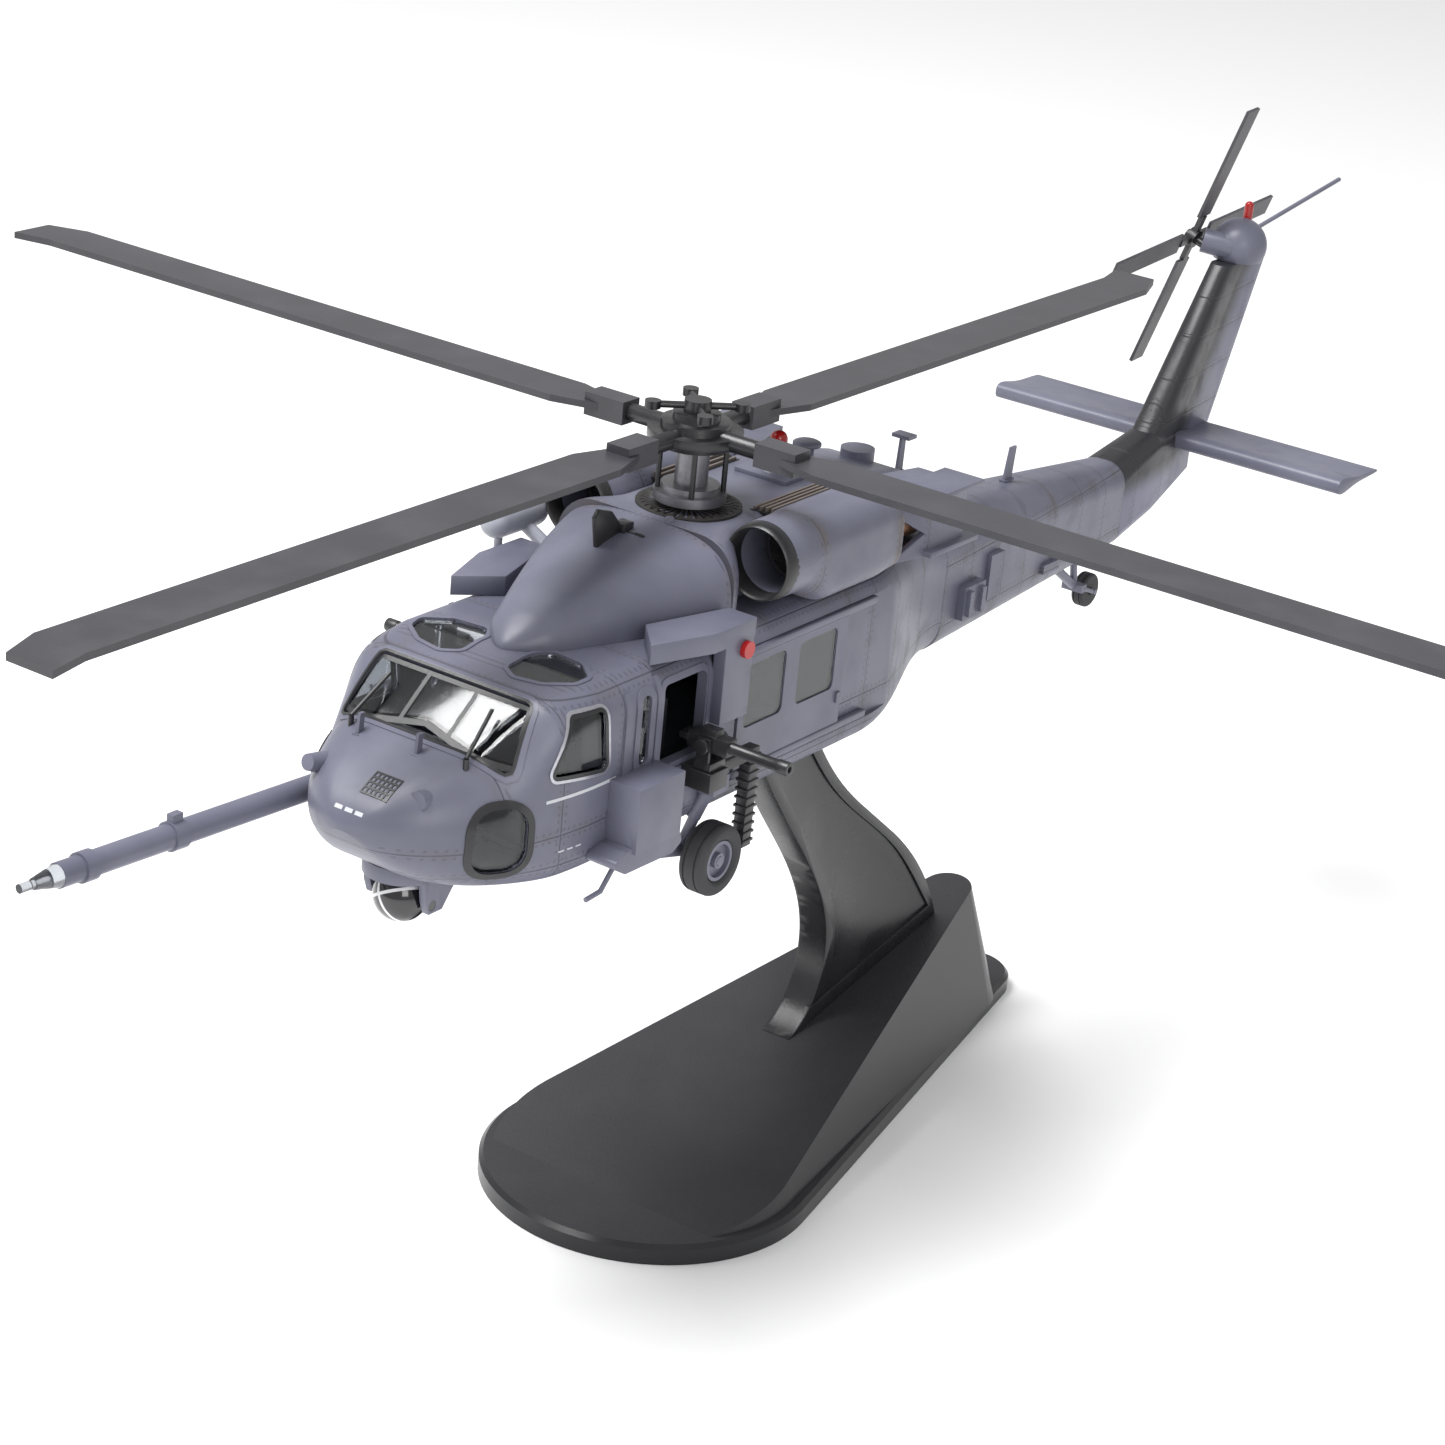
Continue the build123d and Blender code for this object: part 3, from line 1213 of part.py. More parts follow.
DOOR_WINDOWS = [
    [(55.2, 15.8), (63.6, 15.8), (63.6, 24.2), (55.2, 24.2)],
    [(66.6, 15.8), (75.0, 15.8), (75.0, 24.2), (66.6, 24.2)],
]


def door_panes(side):
    x0 = side * (DOOR_RECESS_HALF + FIT + 0.15)
    x1 = side * (DOOR_RECESS_HALF + FIT + 0.5)
    with BuildPart() as panes:
        for opening in DOOR_WINDOWS:
            low, high = opening[0], opening[2]
            inner = [
                (low[0] + SEAT, low[1] + SEAT),
                (high[0] - SEAT, low[1] + SEAT),
                (high[0] - SEAT, high[1] - SEAT),
                (low[0] + SEAT, high[1] - SEAT),
            ]
            side_slab(inner, x0, x1, corner=0.9)
    return panes.part


keep(cabin_door(1), "door_port")
keep(cabin_door(-1), "door_starboard")
keep(door_panes(1), "door_windows_port")
keep(door_panes(-1), "door_windows_starboard")


# ---------------------------------------------------------------- main rotor
with BuildPart() as rotor_mast:
    # shaft in the deck's bore, swashplate, and the collar under the hub
    rod((0, MAST_S, 29.4), (0, MAST_S, ROTOR_W - 1.6), MAST_R)
    rod((0, MAST_S, DECK_W + 0.9), (0, MAST_S, DECK_W + 2.1), 4.6)
    rod((0, MAST_S, DECK_W + 2.0), (0, MAST_S, DECK_W + 2.9), 3.7)
    rod((0, MAST_S, DECK_W + 2.8), (0, MAST_S, ROTOR_W - 1.7), 2.1)
keep(rotor_mast.part, "rotor_mast")

with BuildPart() as rotor_hub:
    # stacked discs, four short arms, and the cap
    for low, high, radius in ((-1.6, -0.6, 4.6), (-0.7, 0.5, 6.0), (0.4, 1.6, 4.4), (1.5, 2.6, 3.0)):
        rod((0, MAST_S, ROTOR_W + low), (0, MAST_S, ROTOR_W + high), radius)
    for n in range(4):
        turn = radians(90 * n)
        far = 13.0
        rod(
            (4 * sin(turn), MAST_S - 4 * cos(turn), ROTOR_W),
            (far * sin(turn), MAST_S - far * cos(turn), ROTOR_W),
            1.15,
        )
keep(rotor_hub.part, "rotor_hub")

with BuildPart() as rotor_cap:
    # four vibration absorber arms, half way between the blades, over the hub
    rod((0, MAST_S, ROTOR_W + 2.6 + SEAT), (0, MAST_S, ROTOR_W + 4.2), 1.7)
    for n in range(4):
        turn = radians(45 + 90 * n)
        tip = (5.6 * sin(turn), MAST_S - 5.6 * cos(turn), ROTOR_W + 3.4)
        rod((0, MAST_S, ROTOR_W + 3.4), tip, 0.45)
        rod((tip[0], tip[1], ROTOR_W + 2.9), (tip[0], tip[1], ROTOR_W + 3.9), 1.0)
keep(rotor_cap.part, "rotor_cap")

with BuildPart() as pitch_links:
    # four rods from the swashplate to the blade roots, with horns
    for n in range(4):
        turn = radians(90 * n + 38)
        reach = 4.1
        x = reach * sin(turn)
        s = MAST_S - reach * cos(turn)
        rod((x, s, DECK_W + 2.1 + SEAT), (x, s, ROTOR_W - 1.6 - SEAT), 0.35)
keep(pitch_links.part, "pitch_links")


def main_blade(turn):
    """Blade with a swept tip, pointing forward before it is turned."""
    half = BLADE_CHORD / 2
    with BuildPart() as blade:
        with BuildSketch(Plane.XY) as plan:
            with BuildLine():
                Polyline(
                    (-1.5, -13.1),
                    (-half, -20),
                    (-half, -ROTOR_R * 0.95),
                    (-half + 2.0, -ROTOR_R),
                    (half + 1.2, -ROTOR_R),
                    (half, -ROTOR_R * 0.95),
                    (half, -20),
                    (1.5, -13.1),
                    close=True,
                )
            make_face()
        extrude(amount=BLADE_THICK / 2, both=True)
        # cuff that takes the arm's end
        with Locations((0, -13.0, 0)):
            Box(3.4, 6.0, 3.0)
    return blade.part.rotate(Axis.Z, turn).moved(Location(place(0, MAST_S, ROTOR_W)))


with BuildPart() as rotor_blades:
    for n in range(4):
        add(main_blade(90 * n))
    add(rotor_hub.part, mode=Mode.SUBTRACT)
keep(rotor_blades.part, "rotor_blades")


# ---------------------------------------------------------------- tail rotor
TAIL_PLANE = Plane(origin=place(TAIL_HUB_X, TAIL_HUB_S, TAIL_HUB_W), x_dir=(0, 1, 0), z_dir=TAIL_AXIS)
TAIL_AZIMUTH = -5.0


def in_tail_frame(part):
    """Move a piece drawn flat about its hub into the canted tail rotor plane."""
    return part.moved(TAIL_PLANE.location)


with BuildPart() as tail_hub_flat:
    Cylinder(1.5, 1.4)
    with Locations((0, 0, -1.9)):
        Cylinder(0.7, 3.0)
    for n in range(4):
        with Locations(Location((0, 0, 0), (0, 0, 90 * n + TAIL_AZIMUTH))):
            with Locations((2.6, 0, 0)):
                Box(3.0, 1.1, 0.8)
    with Locations((0, 0, 0.9)):
        Cylinder(0.8, 0.6)
tail_rotor_hub = in_tail_frame(tail_hub_flat.part)
keep(tail_rotor_hub, "tail_rotor_hub")

with BuildPart() as tail_blades_flat:
    for n in range(4):
        with Locations(Location((0, 0, 0), (0, 0, 90 * n + TAIL_AZIMUTH))):
            with Locations(((TAIL_ROTOR_R + 4.1) / 2, 0, 0)):
                Box(TAIL_ROTOR_R - 4.1, TAIL_CHORD, 0.5)
    add(tail_hub_flat.part, mode=Mode.SUBTRACT)
keep(in_tail_frame(tail_blades_flat.part), "tail_rotor_blades")
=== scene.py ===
import logging
import math
from dataclasses import dataclass, field
from enum import Enum

import bmesh
import bpy
import numpy as np
from mathutils import Matrix, Vector


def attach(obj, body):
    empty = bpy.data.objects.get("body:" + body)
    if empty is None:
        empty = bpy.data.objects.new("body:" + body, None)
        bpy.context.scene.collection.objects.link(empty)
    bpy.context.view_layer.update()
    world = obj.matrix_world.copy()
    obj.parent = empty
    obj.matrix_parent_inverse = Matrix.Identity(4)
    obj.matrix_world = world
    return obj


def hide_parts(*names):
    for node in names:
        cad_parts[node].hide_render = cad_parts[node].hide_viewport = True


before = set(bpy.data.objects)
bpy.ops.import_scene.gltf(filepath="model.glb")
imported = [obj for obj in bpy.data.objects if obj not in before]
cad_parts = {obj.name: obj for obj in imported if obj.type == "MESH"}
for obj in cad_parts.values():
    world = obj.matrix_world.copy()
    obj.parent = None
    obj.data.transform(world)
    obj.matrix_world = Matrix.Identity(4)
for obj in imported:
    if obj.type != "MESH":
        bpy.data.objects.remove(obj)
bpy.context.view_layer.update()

# Looks of a 1:72 helicopter display model on its black stand.
# Sizes are in mm as side offset (port positive), station aft of the nose tip and
# waterline above the wheels' level; row() turns them into metres in the shared frame.

NOSE_Y = -63.2
WHEEL_Z = 59.0
MM = 0.001
DRAPE_REACH = 32.0  # how far out of its plane a draped plate starts
log = logging.getLogger("helicopter")


def row(x: np.ndarray, s: np.ndarray, w: np.ndarray) -> np.ndarray:
    """Points in metres: side as x, station moved by the nose place as y, waterline raised as z.

    Args:
        x: side offsets in mm.
        s: stations in mm.
        w: waterlines in mm.

    Returns:
        Array of points with a last axis of three.
    """
    x, s, w = np.broadcast_arrays(*(np.asarray(v, float) for v in (x, s, w)))
    return np.stack([x, s + NOSE_Y, w + WHEEL_Z], -1) * MM


def ease(t: np.ndarray) -> np.ndarray:
    """Smooth step: t squared times three less twice t, held between 0 and 1."""
    t = np.clip(t, 0.0, 1.0)
    return t * t * (3 - 2 * t)


# --------------------------------------------------------------------- meshes
@dataclass
class Shell:
    """Points and faces of one piece, gathered part by part."""

    points: list = field(default_factory=list)
    faces: list = field(default_factory=list)
    count: int = 0

    def grid(self, points: np.ndarray, around: bool = False, caps: bool = False) -> "Shell":
        """Add a surface of rows and columns, each cell one four-sided face.

        Args:
            points: rows by columns by three.
            around: whether the last column joins the first.
            caps: whether the first and last rows are closed by a flat face.

        Returns:
            This shell.
        """
        rows, cols = points.shape[:2]
        base = self.count
        self.points.append(points.reshape(-1, 3))
        self.count += rows * cols
        r = np.arange(rows - 1)[:, None]
        c = np.arange(cols if around else cols - 1)[None, :]
        after = (c + 1) % cols
        quads = np.stack([r * cols + c, r * cols + after, (r + 1) * cols + after, (r + 1) * cols + c], -1)
        self.faces.extend((quads.reshape(-1, 4) + base).tolist())
        if caps:
            self.faces.append((np.arange(cols)[::-1] + base).tolist())
            self.faces.append((np.arange(cols) + base + (rows - 1) * cols).tolist())
        return self

    def block(self, x: tuple, s: tuple, w: tuple) -> "Shell":
        """Add a box between two sides, two stations and two waterlines."""
        a = np.array([[x[0], w[0]], [x[1], w[0]], [x[1], w[1]], [x[0], w[1]]])
        ends = np.array(s)[:, None]
        return self.grid(row(a[None, :, 0], ends, a[None, :, 1]), around=True, caps=True)

    def rod(
        self,
        start: tuple,
        end: tuple,
        radii: tuple,
        places: tuple = (0.0, 1.0),
        sides: int = 24,
    ) -> "Shell":
        """Add a turned bar: circles of the given radii at the given shares of the way along.

        Args:
            start: first end as side, station, waterline.
            end: last end.
            radii: radius at each place.
            places: shares of the length, from 0 to 1.
            sides: points round each circle.

        Returns:
            This shell.
        """
        a, b = np.array(start, float), np.array(end, float)
        axis = (b - a) / np.linalg.norm(b - a)
        side = np.cross(axis, [0.0, 0.0, 1.0] if abs(axis[2]) < 0.9 else [1.0, 0.0, 0.0])
        side /= np.linalg.norm(side)
        other = np.cross(axis, side)
        turn = np.arange(sides) * 2 * math.pi / sides
        ring = np.cos(turn)[:, None] * side + np.sin(turn)[:, None] * other
        middle = a + np.asarray(places, float)[:, None] * (b - a)
        p = middle[:, None] + np.asarray(radii, float)[:, None, None] * ring
        return self.grid(row(p[..., 0], p[..., 1], p[..., 2]), around=True, caps=True)

    def mesh(self, name: str, closed: bool = True) -> bpy.types.Mesh:
        """Put the gathered faces into a mesh, turned outwards when it is closed."""
        made = bpy.data.meshes.new(name)
        made.from_pydata(np.concatenate(self.points), [], self.faces)
        made.validate()
        if closed:
            turned = bmesh.new()
            turned.from_mesh(made)
            bmesh.ops.remove_doubles(turned, verts=turned.verts, dist=1e-8)
            bmesh.ops.recalc_face_normals(turned, faces=turned.faces)
            turned.to_mesh(made)
            turned.free()
        return made


def show(name: str, mesh: bpy.types.Mesh) -> bpy.types.Object:
    """Put a mesh in the scene as an object at the origin."""
    made = bpy.data.objects.new(name, mesh)
    bpy.context.scene.collection.objects.link(made)
    return made


def settle(thing: bpy.types.Object) -> None:
    """Make an object's modifiers part of its mesh."""
    bpy.context.view_layer.update()
    seen = thing.evaluated_get(bpy.context.evaluated_depsgraph_get())
    mesh = bpy.data.meshes.new_from_object(seen)
    thing.modifiers.clear()
    thing.data = mesh


def piece(
    name: str,
    mesh: bpy.types.Mesh,
    material: bpy.types.Material,
    body: str,
    stands_for: tuple = (),
    edge: float = 0.0,
    sharp: float = 38.0,
) -> bpy.types.Object:
    """Finish one visible piece: round its edges, shade it, dress it and hang it on its body.

    Args:
        name: the piece's name.
        mesh: its shape.
        material: its finish.
        body: the moving body it rides on.
        stands_for: CAD nodes it replaces.
        edge: rounding of its hard edges in mm.
        sharp: angle in degrees above which an edge stays crisp.

    Returns:
        The finished object.
    """
    made = show(name, mesh)
    if edge:
        bevel = made.modifiers.new("edge", "BEVEL")
        bevel.width = edge * MM
        bevel.segments = 2
        bevel.angle_limit = math.radians(35)
        settle(made)
    made.data.polygons.foreach_set("use_smooth", np.ones(len(made.data.polygons), bool))
    made.data.set_sharp_from_angle(angle=math.radians(sharp))
    made.data.materials.clear()
    made.data.materials.append(material)
    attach(made, body)
    if stands_for:
        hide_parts(*stands_for)
    log.info("%s: %d faces on %s", name, len(made.data.polygons), body)
    return made


def box_rings(
    left: np.ndarray,
    right: np.ndarray,
    low: np.ndarray,
    high: np.ndarray,
    low_r: np.ndarray,
    high_r: np.ndarray,
    arc: int = 9,
    run: int = 7,
) -> np.ndarray:
    """Rounded-box outlines, one row a station: each corner is its centre plus the radius times
    cosine and sine of a quarter turn, and straight runs join the corners.

    Args:
        left: lowest side offset of each outline.
        right: highest side offset.
        low: lower waterline.
        high: upper waterline.
        low_r: radius of the two lower corners.
        high_r: radius of the two upper corners.
        arc: steps in a corner.
        run: points inside a straight run.

    Returns:
        Rows by points by two, as side offset and waterline.
    """
    given = (left, right, low, high, low_r, high_r)
    x0, x1, w0, w1, rl, rh = np.broadcast_arrays(*(np.atleast_1d(np.asarray(v, float)) for v in given))
    turn = np.linspace(0, math.pi / 2, arc + 1)[None]

    def corner(x: np.ndarray, w: np.ndarray, r: np.ndarray, start: float) -> np.ndarray:
        """One quarter turn about a centre."""
        across = x[:, None] + r[:, None] * np.cos(start + turn)
        above = w[:, None] + r[:, None] * np.sin(start + turn)
        return np.stack([across, above], -1)

    arcs = [
        corner(x1 - rh, w1 - rh, rh, 0.0),
        corner(x0 + rh, w1 - rh, rh, math.pi / 2),
        corner(x0 + rl, w0 + rl, rl, math.pi),
        corner(x1 - rl, w0 + rl, rl, 1.5 * math.pi),
    ]
    t = np.linspace(0, 1, run + 2)[1:-1][None, :, None]
    parts = []
    for here, after in zip(arcs, arcs[1:] + arcs[:1]):
        parts += [here, here[:, -1:] * (1 - t) + after[:, :1] * t]
    return np.concatenate(parts, 1)


def lofted(stations: np.ndarray, rings: np.ndarray, name: str) -> bpy.types.Mesh:
    """Closed body through outlines standing at their stations."""
    surface = row(rings[..., 0], stations[:, None], rings[..., 1])
    return Shell().grid(surface, around=True, caps=True).mesh(name)


def rounded(outline: list, radius: float, steps: int = 7) -> np.ndarray:
    """Outline with each corner replaced by an arc that touches its two sides: the arc's centre
    lies on the corner's bisector, the radius over the sine of half the corner away.

    Args:
        outline: corner points.
        radius: corner radius.
        steps: points in each arc.

    Returns:
        Points by two, anticlockwise.
    """
    p = np.asarray(outline, float)
    after = np.roll(p, -1, 0)
    if np.sum(p[:, 0] * after[:, 1] - after[:, 0] * p[:, 1]) < 0:
        p = p[::-1]
    back = np.roll(p, 1, 0) - p
    ahead = np.roll(p, -1, 0) - p
    back /= np.linalg.norm(back, axis=1, keepdims=True)
    ahead /= np.linalg.norm(ahead, axis=1, keepdims=True)
    half = 0.5 * np.arccos(np.clip(np.sum(back * ahead, 1), -1, 1))
    middle = back + ahead
    middle /= np.linalg.norm(middle, axis=1, keepdims=True)
    centre = p + middle * (radius / np.sin(half))[:, None]
    start = p + back * (radius / np.tan(half))[:, None] - centre
    end = p + ahead * (radius / np.tan(half))[:, None] - centre
    a = np.arctan2(start[:, 1], start[:, 0])
    b = (np.arctan2(end[:, 1], end[:, 0]) - a + math.pi) % (2 * math.pi) - math.pi
    turn = a[:, None] + b[:, None] * np.linspace(0, 1, steps)
    return (centre[:, None] + radius * np.stack([np.cos(turn), np.sin(turn)], -1)).reshape(-1, 2)


def evenly(outline: np.ndarray, count: int) -> np.ndarray:
    """The same closed outline with its points spread at equal distances along it."""
    closed = np.vstack([outline, outline[:1]])
    along = np.concatenate([[0], np.cumsum(np.linalg.norm(np.diff(closed, axis=0), axis=1))])
    want = np.arange(count) * along[-1] / count
    return np.stack([np.interp(want, along, closed[:, k]) for k in (0, 1)], -1)


def widened(outline: np.ndarray, by: float) -> np.ndarray:
    """Outline moved outwards: each point goes along the normal of the chord through its neighbours."""
    chord = np.roll(outline, -1, 0) - np.roll(outline, 1, 0)
    normal = np.stack([chord[:, 1], -chord[:, 0]], -1)
    return outline + by * normal / np.linalg.norm(normal, axis=1, keepdims=True)


@dataclass(frozen=True)
class Facing:
    """A working plane in mm: where it starts, its two directions and the way it faces."""

    across: tuple
    up: tuple
    out: tuple
    origin: tuple = (0.0, 0.0, 0.0)

    def points(self, flat: np.ndarray, depth: np.ndarray) -> np.ndarray:
        """Points in metres: the origin plus steps along the two directions plus the depth outwards."""
        a, b, c, o = (np.array(v, float) for v in (self.across, self.up, self.out, self.origin))
        p = o + flat[..., :1] * a + flat[..., 1:2] * b + np.asarray(depth)[..., None] * c
        return row(p[..., 0], p[..., 1], p[..., 2])

    def matrix(self) -> Matrix:
        """The plane as a placing matrix in metres."""
        turn = Matrix((self.across, self.up, self.out)).transposed()
        return Matrix.Translation(Vector(row(*self.origin))) @ turn.to_4x4()


def side_facing(side: int) -> Facing:
    """Plane of stations and waterlines seen from port (1) or starboard (-1)."""
    return Facing((0, 1, 0), (0, 0, 1), (side, 0, 0))


TOP = Facing((1, 0, 0), (0, 1, 0), (0, 0, 1))
FRONT = Facing((1, 0, 0), (0, 0, 1), (0, -1, 0))
SLOPE = Facing((1, 0, 0), (0, 0.772, 0.636), (0, -0.636, 0.772), (0, 12.7, 22.3))


def chin_facing(side: int) -> Facing:
    """Slanted plane of the chin window on one side."""
    out = Vector((side, -0.42, -0.12)).normalized()
    across = Vector((0.42 * side, 1, 0))
    across = (across - out * across.dot(out)).normalized()
    return Facing(tuple(across), tuple(out.cross(across)), tuple(out), (side * 13.4, 12.0, 13.2))


def prism(shell: Shell, facing: Facing, outline: np.ndarray, near: float, far: float) -> Shell:
    """Add a straight-sided body with this outline between two depths of a plane."""
    depth = np.array([near, far])[:, None] * np.ones(len(outline))[None]
    flat = np.broadcast_to(outline[None], (2, *outline.shape))
    return shell.grid(facing.points(flat, depth), around=True, caps=True)


def drape(
    name: str,
    facing: Facing,
    flat: np.ndarray,
    around: bool,
    onto: bpy.types.Object,
    thick: float,
) -> bpy.types.Mesh:
    """Lay a thin plate on a curved body: each point slides straight in until it meets the body.

    Args:
        name: mesh name.
        facing: plane the plate is drawn on.
        flat: rows by columns by two, the plate's points in mm.
        around: whether the columns close into a ring.
        onto: body it lies on.
        thick: thickness in mm.

    Returns:
        The plate's mesh, in the shared frame.
    """
    local = np.concatenate([flat, np.full(flat.shape[:2] + (1,), DRAPE_REACH)], -1) * MM
    plate = show(name, Shell().grid(local, around=around).mesh(name, closed=False))
    plate.matrix_world = facing.matrix()
    wrap = plate.modifiers.new("lay", "SHRINKWRAP")
    wrap.target = onto
    wrap.wrap_method = "PROJECT"
    wrap.wrap_mode = "ABOVE_SURFACE"
    wrap.use_project_z = True
    wrap.use_positive_direction = False
    wrap.use_negative_direction = True
    wall = plate.modifiers.new("wall", "SOLIDIFY")
    wall.thickness = thick * MM
    wall.offset = 1.0
    settle(plate)
    mesh = plate.data
    mesh.transform(facing.matrix())
    turned = bmesh.new()
    turned.from_mesh(mesh)
    bmesh.ops.recalc_face_normals(turned, faces=turned.faces)
    turned.to_mesh(mesh)
    turned.free()
    bpy.data.objects.remove(plate)
    return mesh


def joined(meshes: list, name: str) -> bpy.types.Mesh:
    """One mesh holding several."""
    whole = bmesh.new()
    for mesh in meshes:
        whole.from_mesh(mesh)
    made = bpy.data.meshes.new(name)
    whole.to_mesh(made)
    whole.free()
    return made


def carve(body: bpy.types.Object, tool: bpy.types.Mesh) -> None:
    """Cut a closed tool out of a closed body."""
    cutter = show("cutter", tool)
    cut = body.modifiers.new("cut", "BOOLEAN")
    cut.operation = "DIFFERENCE"
    cut.solver = "EXACT"
    cut.use_self = True
    cut.object = cutter
    settle(body)
    bpy.data.objects.remove(cutter)


# ------------------------------------------------------------------ materials
class Graph:
    """Short ways to put nodes into a node tree."""

    def __init__(self, tree: bpy.types.NodeTree) -> None:
        """Work in this tree."""
        self.tree = tree

    def node(self, kind: str, **settings: object) -> bpy.types.Node:
        """Add a node and set its options."""
        made = self.tree.nodes.new("ShaderNode" + kind)
        for key, value in settings.items():
            setattr(made, key, value)
        return made

    def give(self, socket: bpy.types.NodeSocket, value: object) -> None:
        """Link a socket to an input, or set the input's own value."""
        if isinstance(value, bpy.types.NodeSocket):
            self.tree.links.new(value, socket)
        else:
            socket.default_value = value

    def math(
        self,
        how: str,
        a: object,
        b: object = None,
        c: object = None,
        hold: bool = False,
    ) -> bpy.types.NodeSocket:
        """Add a Math node and give its output."""
        made = self.node("Math", operation=how, use_clamp=hold)
        for socket, value in zip(made.inputs, (a, b, c)):
            if value is not None:
                self.give(socket, value)
        return made.outputs[0]

    def mix(self, share: object, a: object, b: object) -> bpy.types.NodeSocket:
        """Blend two colours by a share."""
        made = self.node("Mix", data_type="RGBA")
        self.give(made.inputs["Factor"], share)
        self.give(made.inputs[6], a)
        self.give(made.inputs[7], b)
        return made.outputs[2]

    def noise(self, where: object, scale: float, detail: float = 3.0) -> bpy.types.NodeSocket:
        """Cloudy noise at this many waves a metre."""
        made = self.node("TexNoise")
        self.give(made.inputs["Vector"], where)
        made.inputs["Scale"].default_value = scale
        made.inputs["Detail"].default_value = detail
        return made.outputs["Fac"]

    def ramp(self, value: object, low: float, high: float) -> bpy.types.NodeSocket:
        """Map a value smoothly from low..high to 0..1."""
        made = self.node("MapRange", interpolation_type="SMOOTHSTEP")
        self.give(made.inputs["Value"], value)
        made.inputs["From Min"].default_value = low
        made.inputs["From Max"].default_value = high
        return made.outputs["Result"]

    def ramp_to(self, value: object, high: object) -> bpy.types.NodeSocket:
        """Map a value smoothly from nothing up to a linked limit to 0..1."""
        made = self.node("MapRange", interpolation_type="SMOOTHSTEP")
        self.give(made.inputs["Value"], value)
        self.give(made.inputs["From Max"], high)
        return made.outputs["Result"]

    def ends(self) -> tuple:
        """The input and output nodes of a group's tree."""
        return self.tree.nodes.new("NodeGroupInput"), self.tree.nodes.new("NodeGroupOutput")


def rgba(colour: tuple) -> tuple:
    """Colour with full alpha."""
    return (*colour, 1.0)


def plating_group(name: str, stations: tuple, waterlines: tuple) -> bpy.types.ShaderNodeTree:
    """Panel joints and rivets: the distance to the nearest joint gives the line, and a dot is
    drawn each pitch along a row beside it.

    Args:
        name: group name.
        stations: stations of the upright joints in mm.
        waterlines: waterlines of the level joints in mm.

    Returns:
        Group with Vector, Width and Pitch in; Line, Rivet and Near out.
    """
    tree = bpy.data.node_groups.new(name, "ShaderNodeTree")
    face = tree.interface
    face.new_socket("Vector", in_out="INPUT", socket_type="NodeSocketVector")
    face.new_socket("Width", in_out="INPUT", socket_type="NodeSocketFloat").default_value = 0.11
    face.new_socket("Pitch", in_out="INPUT", socket_type="NodeSocketFloat").default_value = 0.95
    for out in ("Line", "Rivet", "Near"):
        face.new_socket(out, in_out="OUTPUT", socket_type="NodeSocketFloat")
    g = Graph(tree)
    given, result = g.ends()
    apart = g.node("SeparateXYZ")
    g.give(apart.inputs[0], given.outputs["Vector"])
    x = g.math("MULTIPLY", apart.outputs["X"], 1000.0)
    s = g.math("MULTIPLY_ADD", apart.outputs["Y"], 1000.0, -NOSE_Y)
    w = g.math("MULTIPLY_ADD", apart.outputs["Z"], 1000.0, -WHEEL_Z)
    round_it = g.math("ADD", g.math("ABSOLUTE", x), w)
    lines, rivets, near = [], [], []
    for value, places, along in ((s, stations, round_it), (w, waterlines, s)):
        gap = None
        for place in places:
            here = g.math("ABSOLUTE", g.math("SUBTRACT", value, place))
            gap = here if gap is None else g.math("MINIMUM", gap, here)
        if gap is None:
            continue
        lines.append(g.math("SUBTRACT", 1.0, g.ramp_to(gap, given.outputs["Width"])))
        row_gap = g.math("ABSOLUTE", g.math("SUBTRACT", gap, 0.55))
        share = g.math("FRACT", g.math("DIVIDE", along, given.outputs["Pitch"]))
        step = g.math("MULTIPLY", g.math("ABSOLUTE", g.math("SUBTRACT", share, 0.5)), given.outputs["Pitch"])
        apart_by = g.math("SQRT", g.math("ADD", g.math("POWER", row_gap, 2.0), g.math("POWER", step, 2.0)))
        rivets.append(g.math("SUBTRACT", 1.0, g.ramp(apart_by, 0.10, 0.24)))
        near.append(g.math("SUBTRACT", 1.0, g.ramp(gap, 0.0, 1.6)))
    for out, parts in (("Line", lines), ("Rivet", rivets), ("Near", near)):
        best = parts[0]
        for part in parts[1:]:
            best = g.math("MAXIMUM", best, part)
        g.give(result.inputs[out], best)
    return tree


